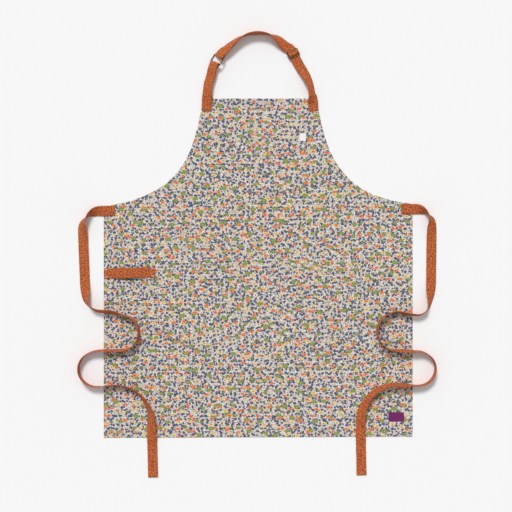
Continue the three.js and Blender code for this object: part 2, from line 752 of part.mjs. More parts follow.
// Materials
const printedCotton = new THREE.MeshStandardMaterial({ color: 0xb9ada0, roughness: 0.9, metalness: 0 });
const pocketCotton = new THREE.MeshStandardMaterial({ color: 0xb3a89c, roughness: 0.9, metalness: 0 });
const rustWebbing = new THREE.MeshStandardMaterial({ color: 0xb5602f, roughness: 0.85, metalness: 0 });
const antiqueBrass = new THREE.MeshStandardMaterial({ color: 0x6e5c3c, roughness: 0.4, metalness: 1 });
const whiteLabel = new THREE.MeshStandardMaterial({ color: 0xf1efe8, roughness: 0.9, metalness: 0 });
const purpleLabel = new THREE.MeshStandardMaterial({ color: 0x730a64, roughness: 0.7, metalness: 0 });

const apron = new THREE.Group();

function add(name, geometry, material) {
  const mesh = new THREE.Mesh(geometry, material);
  mesh.name = name;
  apron.add(mesh);
  return mesh;
}

// Stands a fitting in its frame: its length along the strap's travel, its width across
function seatFitting(mesh, frame, lift) {
  const turned = new THREE.Matrix4().makeBasis(frame.along, frame.across, frame.up);
  mesh.quaternion.setFromRotationMatrix(turned);
  mesh.position.copy(frame.at).addScaledVector(frame.up, lift);
}

add('apron_panel', panel(), printedCotton);
add('bib_pocket', bibPocket(), pocketCotton);
add('skirt_pocket_left', skirtPocket(-1), pocketCotton);
add('skirt_pocket_right', skirtPocket(1), pocketCotton);

const tag = add('pocket_tag', label(tagWidth, tagHeight), whiteLabel);
const tagX = bibPocketMiddle + bibPocketWidth / 2 - tagInset - tagWidth / 2;
tag.position.set(tagX, bibPocketTop - tagDrop - tagHeight / 2, 2 * (cloth + air));
const woven = add('hem_label', label(labelWidth, labelHeight), purpleLabel);
woven.position.set(skirtHalfWidth - labelFromSide, labelFromHem - skirtLength, cloth + air);
woven.rotation.z = labelTilt;

add('towel_loop', towelLoop(), rustWebbing);
add('neck_strap', neckStrap(), rustWebbing);
add('neck_stub', neckStub(), rustWebbing);
seatFitting(add('neck_ring', wireLoop(ringLength, ringWidth, ringCorner, ringWire), antiqueBrass), ringFrame, 0);
seatFitting(add('neck_slider', slider(), antiqueBrass), sliderFrame, sliderBarHeight);
add('waist_tie_left', strapSolid(waistTie(-1, leftTie)), rustWebbing);
add('waist_tie_right', strapSolid(waistTie(1, rightTie)), rustWebbing);

export default apron;
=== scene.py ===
"""A full bib apron laid flat with its face up, dressed for the studio.

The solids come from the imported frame. Every cloth, strap and fitting is worked out again here as a
finer surface in the same place: printed cotton with turned hems, patch pockets, webbing that rolls
on to its edge, a brass ring and slider, stitches and blank labels. Lengths are in millimetres until
a mesh is made, and then in metres.
"""

from __future__ import annotations

import logging
from dataclasses import dataclass, field
from enum import Enum
from typing import Sequence

import bpy
import numpy as np
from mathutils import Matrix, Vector

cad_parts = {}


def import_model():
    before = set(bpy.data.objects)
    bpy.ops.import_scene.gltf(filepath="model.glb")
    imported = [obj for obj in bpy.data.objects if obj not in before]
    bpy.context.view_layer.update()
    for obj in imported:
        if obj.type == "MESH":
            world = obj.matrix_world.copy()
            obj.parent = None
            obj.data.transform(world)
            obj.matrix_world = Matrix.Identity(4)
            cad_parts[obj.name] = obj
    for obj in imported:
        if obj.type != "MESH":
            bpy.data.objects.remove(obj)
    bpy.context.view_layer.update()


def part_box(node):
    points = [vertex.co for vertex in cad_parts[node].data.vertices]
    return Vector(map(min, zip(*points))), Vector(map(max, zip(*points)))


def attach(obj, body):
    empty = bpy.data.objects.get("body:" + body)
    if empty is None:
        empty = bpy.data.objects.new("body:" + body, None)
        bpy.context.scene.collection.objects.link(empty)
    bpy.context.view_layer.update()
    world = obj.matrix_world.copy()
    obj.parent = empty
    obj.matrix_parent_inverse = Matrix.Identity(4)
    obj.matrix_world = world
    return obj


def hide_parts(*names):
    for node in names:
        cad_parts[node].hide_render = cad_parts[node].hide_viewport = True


LOG = logging.getLogger("apron")
MM = 0.001
ROOT = "root"

Array = np.ndarray
Point = tuple[float, float]


# Sizes of the apron


@dataclass(frozen=True)
class PanelSizes:
    """The body of the apron, in millimetres."""

    skirt_half_width: float = 391.7
    skirt_length: float = 589.0
    bib_height: float = 270.0
    bib_half_width: float = 146.8
    bib_shift: float = 4.2
    bib_shift_from: float = 0.37
    waist_rise: float = 2.5
    hem_rise: float = 1.5
    hem_width: float = 11.0
    cloth: float = 1.2
    hem_fold: float = 0.6
    side_line: float = 0.074
    pull_down: float = 0.384
    pull_out: float = 0.087
    pull_in: float = 0.83
    pull_up: float = 0.084
    armhole_rows: int = 52
    skirt_rows: int = 60
    columns: int = 92

    @property
    def hem_top(self) -> float:
        """Height of the hem's top face."""
        return self.cloth + self.hem_fold


@dataclass(frozen=True)
class PocketSizes:
    """One patch pocket: its box, and how its lower edge runs across, as height over the lowest
    point at shares of the width."""

    left: float
    right: float
    top: float
    bottom: float
    edge_shares: tuple[float, ...]
    edge_rise: tuple[float, ...]
    print_shift: Point
    bulge: float


@dataclass(frozen=True)
class WebbingSizes:
    """One-inch webbing and how it lies."""

    width: float = 25.4
    thickness: float = 1.6
    step: float = 6.0
    air: float = 0.35
    settle: float = 0.12
    layer_gap: float = 0.35
    end_fold: float = 13.0
    end_fold_rise: float = 1.2
    spacing: float = 2.0
    ramp_from: float = 3.0
    ramp_length: float = 18.0
    edge_depth: float = 0.75
    fold_ramp: float = 1.0
    face_points: int = 9
    edge_points: int = 7

    @property
    def layer_offset(self) -> float:
        """Half the distance between the middles of two layers."""
        return (self.thickness + self.layer_gap) / 2

    @property
    def double_pack(self) -> float:
        """Thickness of two layers with the gap between them."""
        return 2 * self.thickness + self.layer_gap


@dataclass(frozen=True)
class FittingSizes:
    """Brass ring and slider, between the middles of their bars."""

    ring_wire: float = 2.8
    ring_length: float = 22.0
    ring_slack: float = 1.2
    ring_corner: float = 2.6
    ring_skew: float = np.radians(7)
    slider_wire: float = 2.2
    slider_length: float = 19.0
    slider_slack: float = 0.5
    slider_corner: float = 3.0


@dataclass(frozen=True)
class Bend:
    """A straight run and the bend after it, as shares of the tie's length, with rolls in degrees at
    the bend's start, middle and end."""

    run: float
    turn: float
    radius: float
    start: float
    middle: float
    end: float


@dataclass(frozen=True)
class Station:
    """A place on the neck loop, as shares of its half span and rise, with its roll in degrees."""

    across: float
    up: float
    roll: float


@dataclass(frozen=True)
class FittingPose:
    """Where a fitting lies on the neck loop, with its heading and roll in degrees."""

    across: float
    up: float
    heading: float
    roll: float


class Side(Enum):
    """Left and right as seen on the apron's face."""

    LEFT = -1
    RIGHT = 1


PANEL = PanelSizes()
WEBBING = WebbingSizes()
FITTING = FittingSizes()

# Unevenness of the webbing's edges and the hem: height, length for a radian and phase
EDGE_WAVES = ((0.14, 1.7, 0.0), (0.1, 4.3, 1.0))
HEM_WAVES = ((0.1, 2.1, 0.0), (0.07, 5.3, 2.0))
FACE_UP = np.array([[0.0, 0.0, 1.0]])

TIE_LENGTH = 1050.0
TIE_PATCH = 28.5
TIE_DROP = 12.5
TIE_TILT = 1.5
TIE_BENDS = {
    Side.LEFT: (
        Bend(0.0085, 90.8, 0.0437, -8, -88, -158),
        Bend(0.039, 0, 0, -178, -178, -178),
        Bend(0.0648, 0, 0, -180, -180, -180),
        Bend(0.0217, 3, 0.2888, -178, -174, -168),
        Bend(0.0219, 79.8, 0.0377, -140, -104, -110),
        Bend(0.0254, -15, 0.1408, -114, -104, -91),
        Bend(0.0062, -159.4, 0.042, -86, -85, -98),
        Bend(0.0467, 12.4, 0.1143, -96, -94, -92),
        Bend(0, 171.7, 0.0427, -91, -88, -93),
        Bend(0.0344, 0, 0, -103, -103, -103),
        Bend(0, -93.4, 0.0873, -103, -114, -142),
        Bend(0.0286, 0, 0, -165, -165, -165),
        Bend(0.0286, 0, 0, -180, -180, -180),
        Bend(0.0811, 0, 0, -180, -180, -180),
    ),
    Side.RIGHT: (
        Bend(0.0078, 89.1, 0.0396, -8, -88, -156),
        Bend(0.039, 0, 0, -178, -178, -178),
        Bend(0.0648, 0, 0, -180, -180, -180),
        Bend(0.0238, 5.9, 0.2921, -177, -173, -160),
        Bend(0.0308, 94.2, 0.0315, -118, -99, -104),
        Bend(0.0347, -188.6, 0.0463, -102, -85, -98),
        Bend(0.0154, 0, 0, -103, -103, -103),
        Bend(0.0406, 180.2, 0.0412, -94, -88, -90),
        Bend(0.03, 2.3, 0.1153, -78, -75, -76),
        Bend(0.0095, -95.6, 0.0856, -76, -66, -22),
        Bend(0.0286, 0, 0, 0, 0, 0),
        Bend(0.1045, 0, 0, 0, 0, 0),
    ),
}

NECK_RISE = 166.0
NECK_PATCH = 31.0
NECK_HALF_SPAN = PANEL.bib_half_width - WEBBING.width / 2
PATCH_LEAN = {Side.RIGHT: 4.0, Side.LEFT: 1.2}
SEWN_ROLL = {Side.RIGHT: 24.0, Side.LEFT: 4.0}
SLIDER_POSE = FittingPose(0.628, 0.682, 116.6, 4)
RING_POSE = FittingPose(-0.8076, 0.583, 237.6, 27.6)
SLIDER_SEAT = 12.5
RING_SEAT = 13.0
SEAT_PULL = 6.0
STRAP_ROUTE = (
    Station(0.987, 0.045, 41),
    Station(0.973, 0.13, 49),
    Station(0.938, 0.235, 43),
    Station(0.867, 0.352, 28),
    Station(0.778, 0.46, 8),
)
ARC_ROUTE = (
    Station(0.503, 0.784, 8),
    Station(0.448, 0.818, 14),
    Station(0.337, 0.898, 42),
    Station(0.236, 0.95, 72),
    Station(0.106, 0.978, 88),
    Station(-0.055, 0.988, 92),
    Station(-0.22, 0.97, 87),
    Station(-0.391, 0.911, 69),
    Station(-0.507, 0.84, 57),
    Station(-0.63, 0.748, 38),
)
STUB_ROUTE = (
    Station(-0.993, 0.045, 14),
    Station(-0.989, 0.13, 28),
    Station(-0.968, 0.235, 28),
    Station(-0.926, 0.34, 24),
)

SKIRT_POCKET_WIDTH = 209.0
SKIRT_POCKET_DROP = 154.2
SKIRT_POCKET_SPACING = 305.4
SKIRT_POCKET_SHIFT = 3.1


def skirt_pocket(side: Side) -> PocketSizes:
    """The sizes of one skirt pocket, with a pointed bottom.

    Args:
        side: Which of the pair.

    Returns:
        Its sizes.
    """
    middle = SKIRT_POCKET_SHIFT + side.value * SKIRT_POCKET_SPACING / 2
    return PocketSizes(
        left=middle - SKIRT_POCKET_WIDTH / 2,
        right=middle + SKIRT_POCKET_WIDTH / 2,
        top=-SKIRT_POCKET_DROP,
        bottom=-SKIRT_POCKET_DROP - 215,
        edge_shares=(0, 0.5, 1),
        edge_rise=(43, 0, 43),
        print_shift=(41, -23) if side is Side.LEFT else (-35, 17),
        bulge=0.9,
    )


BIB_POCKET = PocketSizes(
    left=-6.8,
    right=124.0,
    top=182.0,
    bottom=38.2,
    edge_shares=(0, 0.153, 0.847, 1),
    edge_rise=(32, 0, 0, 32),
    print_shift=(19, 33),
    bulge=0.7,
)


# Arithmetic of surfaces


def ease(share: Array | float) -> Array:
    """A ramp from 0 to 1 that is level at both ends: 6 s^5 - 15 s^4 + 10 s^3."""
    s = np.clip(share, 0.0, 1.0)
    return s * s * s * (s * (6 * s - 15) + 10)


def unit(vectors: Array) -> Array:
    """Scales each vector in the last axis to length one."""
    return vectors / np.maximum(np.linalg.norm(vectors, axis=-1, keepdims=True), 1e-12)


def steady_curve(at: Sequence[float], value: Sequence[float], where: Array) -> Array:
    """Joins values by a cubic that never passes them: tangents are harmonic means of slopes.

    Args:
        at: Rising places of the values.
        value: The values there.
        where: Places to read.

    Returns:
        The value at each place.
    """
    places = np.asarray(at, float)
    values = np.asarray(value, float)
    length = np.maximum(np.diff(places), 1e-6)
    slope = np.diff(values) / length
    before = np.concatenate([[0.0], slope])
    after = np.concatenate([slope, [0.0]])
    product = before * after
    total = np.where(np.abs(before + after) < 1e-12, 1.0, before + after)
    tangent = np.where(product > 0, 2 * product / total, 0.0)
    index = np.clip(np.searchsorted(places, where, side="right") - 1, 0, len(places) - 2)
    share = np.clip((where - places[index]) / length[index], 0, 1)
    rest = 1 - share
    start = (1 + 2 * share) * rest**2 * values[index]
    pull = share * rest * length[index] * (rest * tangent[index] - share * tangent[index + 1])
    return start + share**2 * (3 - 2 * share) * values[index + 1] + pull


def spline_through(points: Array, where: Array) -> Array:
    """A centripetal Catmull-Rom curve, read at piece numbers with fractions.

    Args:
        points: Control points, one row each.
        where: Piece number plus share, from 0 to the last point's number.

    Returns:
        One point for each place.
    """
    padded = np.vstack([2 * points[0] - points[1], points, 2 * points[-1] - points[-2]])
    index = np.minimum(where.astype(int), len(points) - 2)
    weight = (where - index)[:, None]
    a, b, c, d = (padded[index + k] for k in range(4))
    first, second, third = (
        np.maximum(np.sqrt(np.linalg.norm(q - p, axis=1, keepdims=True)), 1e-4)
        for p, q in ((a, b), (b, c), (c, d))
    )
    start = ((b - a) / first - (c - a) / (first + second) + (c - b) / second) * second
    end = ((c - b) / second - (d - b) / (second + third) + (d - c) / third) * second
    square = -3 * b + 3 * c - 2 * start - end
    cube = 2 * b - 2 * c + start + end
    return b + start * weight + square * weight**2 + cube * weight**3


def bezier(corners: Array, steps: int) -> Array:
    """A cubic Bezier curve as rows of points, its ends included."""
    t = np.linspace(0, 1, steps + 1)[:, None]
    u = 1 - t
    return u**3 * corners[0] + 3 * u * u * t * corners[1] + 3 * u * t * t * corners[2] + t**3 * corners[3]


def neighbours(points: Array) -> tuple[Array, Array]:
    """The rows before and after each row, held at the two ends."""
    return np.vstack([points[:1], points[:-1]]), np.vstack([points[1:], points[-1:]])


def arc_lengths(points: Array) -> Array:
    """Distance travelled along rows of points."""
    return np.concatenate([[0.0], np.cumsum(np.linalg.norm(np.diff(points, axis=0), axis=1))])


def read_rows(rows: Array, at: Array, where: Array) -> Array:
    """Rows of numbers read at places between them, along straight lines."""
    return np.stack([np.interp(where, at, column) for column in rows.T], axis=1)


def ripple(along: Array, waves: Sequence[tuple[float, float, float]]) -> Array:
    """A sum of sines along a length, each with its height, its length for a radian and its phase."""
    return sum(height * np.sin(along / length + phase) for height, length, phase in waves)


def resample(points: Array, spacing: float) -> Array:
    """Rows of points at an even spacing along straight pieces."""
    lengths = arc_lengths(points)
    count = max(2, int(round(lengths[-1] / spacing)) + 1)
    where = np.linspace(0, lengths[-1], count)
    return read_rows(points, lengths, where)


def hermite(points: Array, at: Array, where: Array) -> Array:
    """A smooth curve through rows of points: cubic pieces with the slopes of their neighbours.

    Args:
        points: The rows.
        at: Distance of each row.
        where: Distances to read.

    Returns:
        A row for each distance.
    """
    slope = np.gradient(points, at, axis=0)
    index = np.clip(np.searchsorted(at, where, side="right") - 1, 0, len(at) - 2)
    length = (at[index + 1] - at[index])[:, None]
    s = ((where - at[index]) / length[:, 0])[:, None]
    r = 1 - s
    ends = (1 + 2 * s) * r * r * points[index] + s * s * (3 - 2 * s) * points[index + 1]
    return ends + s * r * length * (r * slope[index] - s * slope[index + 1])


# The panel's outline


class PanelOutline:
    """The apron's outline and the height that a strap rests at on it or beside it."""

    def __init__(self, sizes: PanelSizes) -> None:
        """Works out both armholes and the closed outline."""
        self.sizes = sizes
        self.right = self.armhole(Side.RIGHT)
        self.left = self.armhole(Side.LEFT)
        low = -sizes.skirt_length
        hem = np.array(
            [
                [-sizes.skirt_half_width, low - sizes.hem_rise],
                [sizes.skirt_half_width, low + sizes.hem_rise],
            ]
        )
        self.loop = np.vstack([hem, self.right, self.left[::-1]])

    def shift_at(self, y: Array) -> Array:
        """How far the bib lies to the right at a height, eased in above the waist."""
        sizes = self.sizes
        return sizes.bib_shift * ease(y / (sizes.bib_shift_from * sizes.bib_height))

    def armhole(self, side: Side) -> Array:
        """One armhole as a cubic from the waist corner to the bib, then straight to its top.

        Args:
            side: Which armhole.

        Returns:
            Plan points from the waist corner up.
        """
        s = self.sizes
        width = s.skirt_half_width - s.bib_half_width
        line_end = s.bib_height * (1 - s.side_line)
        rise = side.value * s.waist_rise
        corners = np.array(
            [
                [s.skirt_half_width, rise],
                [s.skirt_half_width - s.pull_in * width, rise + s.pull_up * s.bib_height],
                [s.bib_half_width + s.pull_out * width, line_end - s.pull_down * s.bib_height],
                [s.bib_half_width, line_end],
            ]
        )
        curve = bezier(corners, s.armhole_rows)
        points = np.vstack([curve, [[s.bib_half_width, s.bib_height]]])
        shifted = side.value * points[:, 0] + self.shift_at(points[:, 1])
        return np.stack([shifted, points[:, 1]], axis=1)

    def distance_inside(self, plan: Array) -> Array:
        """Distance of plan points inside the outline, negative outside it."""
        start = self.loop
        side = np.roll(self.loop, -1, axis=0) - start
        offset = plan[:, None] - start[None]
        share = np.clip((offset * side).sum(-1) / (side**2).sum(-1), 0, 1)
        nearest = np.linalg.norm(offset - share[..., None] * side, axis=-1).min(1)
        end = start + side
        straddles = (start[:, 1] > plan[:, 1:]) != (end[:, 1] > plan[:, 1:])
        rise = np.where(side[:, 1] == 0, 1.0, side[:, 1])
        crossing = start[:, 0] + side[:, 0] * (plan[:, 1:] - start[:, 1]) / rise
        inside = (straddles & (plan[:, :1] < crossing)).sum(1) % 2 == 1
        return np.where(inside, nearest, -nearest)

    def resting_height(self, plan: Array) -> Array:
        """Height that webbing rests at: the table, the hem or the cloth, with ramps between."""
        depth = self.distance_inside(plan)
        ramp = WEBBING.ramp_length
        on_hem = (self.sizes.hem_top + WEBBING.air) * (1 - ease((-depth - WEBBING.ramp_from) / ramp))
        inner = (depth - self.sizes.hem_width - WEBBING.ramp_from) / ramp
        return on_hem - self.sizes.hem_fold * ease(inner)


OUTLINE = PanelOutline(PANEL)


# Meshes


@dataclass
class MeshData:
    """Points in millimetres, faces as tuples of point numbers, and a map point for each corner."""

    points: Array
    faces: list[tuple[int, ...]]
    corners: Array | None = None

    @staticmethod
    def joined(parts: Sequence["MeshData"]) -> "MeshData":
        """Several meshes as one, in order."""
        faces: list[tuple[int, ...]] = []
        start = 0
        for part in parts:
            faces.extend(tuple(index + start for index in face) for face in part.faces)
            start += len(part.points)
        corners = None
        if all(part.corners is not None for part in parts):
            corners = np.vstack([part.corners for part in parts])
        return MeshData(np.vstack([part.points for part in parts]), faces, corners)


def build_object(name: str, data: MeshData, sharp: float = 40.0) -> bpy.types.Object:
    """Makes a Blender object of mesh data, in metres, with its object at the origin.

    Args:
        name: The piece's name.
        data: Its points, faces and map.
        sharp: Faces that meet at more than this many degrees keep a sharp edge.

    Returns:
        The linked object.
    """
    mesh = bpy.data.meshes.new(name)
    mesh.from_pydata((data.points * MM).tolist(), [], data.faces)
    if data.corners is not None:
        layer = mesh.uv_layers.new(name="weave")
        layer.data.foreach_set("uv", (data.corners * MM).astype(np.float32).ravel())
    mesh.validate()
    mesh.shade_smooth()
    mesh.set_sharp_from_angle(angle=np.radians(sharp))
    piece = bpy.data.objects.new(name, mesh)
    bpy.context.scene.collection.objects.link(piece)
    return piece


def tube_faces(rows: int, around: int, closed: bool = False) -> Array:
    """Quads between neighbouring rows of a tube's points, facing out where the rows turn
    counter-clockwise about the way they advance."""
    row = np.arange(rows if closed else rows - 1)[:, None]
    step = np.arange(around)[None]
    a = row * around + step
    b = row * around + (step + 1) % around
    up = ((row + 1) % rows) * around
    c = up + (step + 1) % around
    d = up + step
    return np.stack([a, b, c, d], axis=-1).reshape(-1, 4)


def swept_tube(rings: Array, closed: bool = False) -> MeshData:
    """A tube from rows of rings, capped at both ends unless it closes on itself.

    Args:
        rings: Rows x points x 3.
        closed: Whether the last row meets the first.

    Returns:
        The mesh, mapped with the distance round it and along it.
    """
    rows, around, _ = rings.shape
    faces = tube_faces(rows, around, closed)
    round_way = np.concatenate([rings, rings[:, :1]], axis=1).mean(axis=0)
    across = arc_lengths(round_way)
    middle = rings.mean(axis=1)
    if closed:
        middle = np.vstack([middle, middle[:1]])
    along = arc_lengths(middle)
    if not closed:
        along = along[:rows]
    row = np.repeat(np.arange(rows if closed else rows - 1), around)
    step = np.tile(np.arange(around), rows if closed else rows - 1)
    u = np.stack([across[step], across[step + 1], across[step + 1], across[step]], axis=1)
    v = np.stack([along[row], along[row], along[row + 1], along[row + 1]], axis=1)
    corners = np.stack([u, v], axis=-1).reshape(-1, 2)
    listed = [tuple(face) for face in faces.tolist()]
    if not closed:
        listed.append(tuple(range(around))[::-1])
        listed.append(tuple(range((rows - 1) * around, rows * around)))
        ends = np.stack([across[:-1], np.zeros(around)], axis=1)
        tops = np.stack([across[:-1], np.full(around, along[-1])], axis=1)
        corners = np.vstack([corners, ends[::-1], tops])
    return MeshData(rings.reshape(-1, 3), listed, corners)


def cloth_shell(plan: Array, low: Array, high: Array, bulge: float = 0.3) -> MeshData:
    """A closed sheet of cloth: two faces over one grid of plan points and a rounded edge.

    Args:
        plan: Rows x columns x 2, with X rising along a row and Y rising from row to row.
        low: Height of the underside at each grid point.
        high: Height of the face at each grid point.
        bulge: How far the edge's middle stands out, as a share of the thickness.

    Returns:
        The mesh, mapped with its plan.
    """
    rows, columns, _ = plan.shape
    count = rows * columns
    grid = np.arange(count).reshape(rows, columns)
    a, b = grid[:-1, :-1].ravel(), grid[:-1, 1:].ravel()
    c, d = grid[1:, 1:].ravel(), grid[1:, :-1].ravel()
    top = np.stack([a, b, c, d], axis=1)
    under = np.stack([d, c, b, a], axis=1) + count
    edge = np.concatenate([grid[0, :-1], grid[:-1, -1], grid[-1, :0:-1], grid[:0:-1, 0]])
    flat = plan.reshape(-1, 2)
    edge_plan = flat[edge]
    before, after = np.roll(edge_plan, 1, axis=0), np.roll(edge_plan, -1, axis=0)
    way = unit(after - before)
    out = np.stack([way[:, 1], -way[:, 0]], axis=1)
    lows, highs = low.ravel(), high.ravel()
    thick = (highs - lows)[edge][:, None]
    middle = np.hstack([edge_plan + out * thick * bulge, ((highs + lows)[edge] / 2)[:, None]])
    ring = np.arange(len(edge))
    follow = np.roll(ring, -1)
    rim, next_rim = 2 * count + ring, 2 * count + follow
    upper = np.stack([edge[ring], rim, next_rim, edge[follow]], axis=1)
    lower = np.stack([rim, edge[ring] + count, edge[follow] + count, next_rim], axis=1)
    points = np.vstack([np.column_stack([flat, highs]), np.column_stack([flat, lows]), middle])
    faces = np.vstack([top, under, upper, lower])
    return MeshData(points, [tuple(face) for face in faces.tolist()], points[faces.ravel(), :2])


# Webbing


@dataclass
class StrapFrames:
    """Places along a strap with its width, its travel and its face direction there."""

    at: Array
    across: Array
    up: Array
    along: Array

    @staticmethod
    def square(at: Array, across: Array) -> "StrapFrames":
        """Makes the width square to travel and works out the face direction.

        Args:
            at: Rows of places.
            across: Rows of width directions, nearly square to travel.

        Returns:
            The frames.
        """
        before, after = neighbours(at)
        along = unit(after - before)
        width = unit(across - along * (across * along).sum(1, keepdims=True))
        return StrapFrames(at, width, np.cross(along, width), along)

    def lifted(self, height: Array | float) -> tuple[Array, Array]:
        """Places moved along the face direction, with their widths."""
        step = np.broadcast_to(height, len(self.at))[:, None]
        return self.at + self.up * step, self.across


def lay_down(path: Array, roll: Array, pack: Array | float, handed: int) -> StrapFrames:
    """Sets a strap on what lies under it.

    The middle's height is what lies highest under the width, plus half the width times the sine
    of the roll, plus half the pack times its cosine.

    Args:
        path: Plan points of the strap's middle.
        roll: Degrees that the strap's raised edge is turned up.
        pack: Thickness of what the strap brings there.
        handed: 1 where that edge is on the left of travel, else -1.

    Returns:
        The frames, in order of travel.
    """
    before, after = neighbours(path)
    way = unit(after - before)
    level = np.stack([-way[:, 1], way[:, 0], np.zeros(len(way))], axis=1) * handed
    angle = np.radians(roll)
    across = level * np.cos(angle)[:, None]
    across[:, 2] += np.sin(angle)
    reach = WEBBING.width / 2
    under = np.max([OUTLINE.resting_height(path + k * across[:, :2]) for k in (-reach, 0, reach)], axis=0)
    lean = reach * np.abs(np.sin(angle)) + np.broadcast_to(pack, len(path)) / 2 * np.abs(np.cos(angle))
    return StrapFrames.square(np.column_stack([path, under + lean + WEBBING.settle]), across)


class Strap:
    """A length of webbing along given places and widths, and points on its faces."""

    def __init__(self, at: Array, across: Array) -> None:
        """Smooths the given rows to an even, fine spacing."""
        coarse = arc_lengths(at)
        self.length = float(coarse[-1])
        count = int(np.ceil(self.length / WEBBING.spacing)) + 1
        self.where = np.linspace(0, self.length, count)
        places, widths = (hermite(rows, coarse, self.where) for rows in (at, across))
        self.frames = StrapFrames.square(places, widths)

    def point(self, along: Array, across: Array, face: int, lift: float) -> Array:
        """Points on a face: the middle there, plus the width, plus half the thickness.

        Args:
            along: Distances along the strap.
            across: Distances across it from its middle.
            face: 1 for the face that the up direction points to, else -1.
            lift: Height over the face.

        Returns:
            A point for each pair of distances.
        """
        frames = self.frames
        listed = (frames.at, frames.across, frames.up)
        at, width, up = (read_rows(rows, self.where, along) for rows in listed)
        height = face * (WEBBING.thickness / 2 + lift)
        return at + unit(width) * across[:, None] + unit(up) * height

    def mesh(self, folded_ends: Sequence[tuple[float, float, int]] = ()) -> MeshData:
        """The webbing as a tube with a flat section, soft woven edges and folded ends.

        The section is a flat rectangle closed at each side by half an ellipse. The edges swell
        and shrink a little along the strap, as woven edges do.

        Args:
            folded_ends: From and to distances of each folded end, with the face that it is on.

        Returns:
            The closed mesh.
        """
        half, thick = WEBBING.width / 2, WEBBING.thickness / 2
        flat = np.linspace(-1, 1, WEBBING.face_points)
        edge = np.linspace(-np.pi / 2, np.pi / 2, WEBBING.edge_points)[1:-1]
        soft = WEBBING.edge_depth
        right = np.stack([half - soft + soft * np.cos(edge), thick * np.sin(edge)], axis=1)
        low = np.stack([flat * (half - soft), np.full(len(flat), -thick)], axis=1)
        section = np.vstack([low, right, low[::-1] * [1, -1], right[::-1] * [-1, 1]])
        rows = len(self.where)
        side = section[None, :, 0] * (1 + (ripple(self.where, EDGE_WAVES) / half)[:, None])
        rise = np.repeat(section[None, :, 1], rows, axis=0)
        for start, end, face in folded_ends:
            ramp = WEBBING.fold_ramp
            fold = ease((self.where - start) / ramp) * ease((end - self.where) / ramp + 1)
            on_face = section[None, :, 1] * face > 0
            rise = rise + face * WEBBING.end_fold_rise * fold[:, None] * on_face
        frames = self.frames
        sideways = frames.across[:, None] * side[..., None]
        return swept_tube(frames.at[:, None] + sideways + frames.up[:, None] * rise[..., None])


# Sewing


class Sewing:
    """Rows of stitches as small humped threads."""

    rings, sides = 5, 5
    tip, body = 0.06, 0.88
    hump, sink = 0.75, 0.45
    thin, swelling = 0.35, 0.65

    def __init__(self, thread: float = 0.5, length: float = 2.7, gap: float = 0.7) -> None:
        """Keeps the thread's thickness, the stitch length and the gap, in millimetres."""
        self.thread = thread
        self.length = length
        self.gap = gap

    def row(self, path: Array, face: Array) -> MeshData:
        """Stitches along a path.

        Each stitch is a tube of five sides whose radius and height follow a half sine, so both
        ends dip into the cloth.

        Args:
            path: Points along the seam, on the cloth.
            face: The cloth's outward direction, one row or one for each point.

        Returns:
            All the stitches as one mesh.
        """
        lengths = arc_lengths(path)
        pitch = self.length + self.gap
        starts = np.arange(self.gap / 2, lengths[-1] - self.length, pitch)
        shares = np.linspace(0, 1, self.rings)
        where = (starts[:, None] + shares[None] * self.length).ravel()
        out = unit(read_rows(np.broadcast_to(face, path.shape), lengths, where))
        middle = read_rows(path, lengths, where).reshape(len(starts), self.rings, 3)
        way = unit(middle[:, -1] - middle[:, 0])[:, None]
        out = out.reshape(len(starts), self.rings, 3)
        swell = np.sin(np.pi * (self.tip + self.body * shares))
        middle = middle + out * (self.thread * (self.hump * swell - self.sink))[None, :, None]
        beside = np.cross(np.broadcast_to(way, out.shape), out)
        angle = np.arange(self.sides) * 2 * np.pi / self.sides
        radius = (self.thread / 2 * (self.thin + self.swelling * swell))[None, :, None, None]
        ring = np.cos(angle)[:, None] * beside[:, :, None] + np.sin(angle)[:, None] * out[:, :, None]
        points = (middle[:, :, None] + ring * radius).reshape(-1, 3)
        one = tube_faces(self.rings, self.sides)[:, ::-1]
        first = (np.arange(len(starts)) * self.rings * self.sides)[:, None, None]
        quads = (one[None] + first).reshape(-1, 4)
        low = np.arange(self.sides)
        caps = np.stack([low, (self.rings - 1) * self.sides + low[::-1]])
        ends = (caps[None] + first).reshape(-1, self.sides)
        faces = [tuple(face) for face in quads.tolist()] + [tuple(face) for face in ends.tolist()]
        return MeshData(points, faces)

    def tack(self, middle: Array, along: Array, face: Array, length: float, width: float) -> MeshData:
        """A bar tack: a close row of short threads across a bar.

        Args:
            middle: The bar's middle on the cloth.
            along: The bar's direction.
            face: The cloth's outward direction.
            length: The bar's length.
            width: The bar's width.

        Returns:
            The threads as one mesh.
        """
        across = np.cross(face, along)
        steps = np.arange(-length / 2, length / 2 + 1e-6, self.thread * 0.95)
        one = Sewing(self.thread, width - 0.1, 0.05)
        lines = []
        for step in steps:
            start = middle + along * step - across * width / 2
            end = middle + along * step + across * (width / 2 + 0.1)
            lines.append(one.row(np.array([start, end]), face))
        return MeshData.joined(lines)


# Shader arithmetic


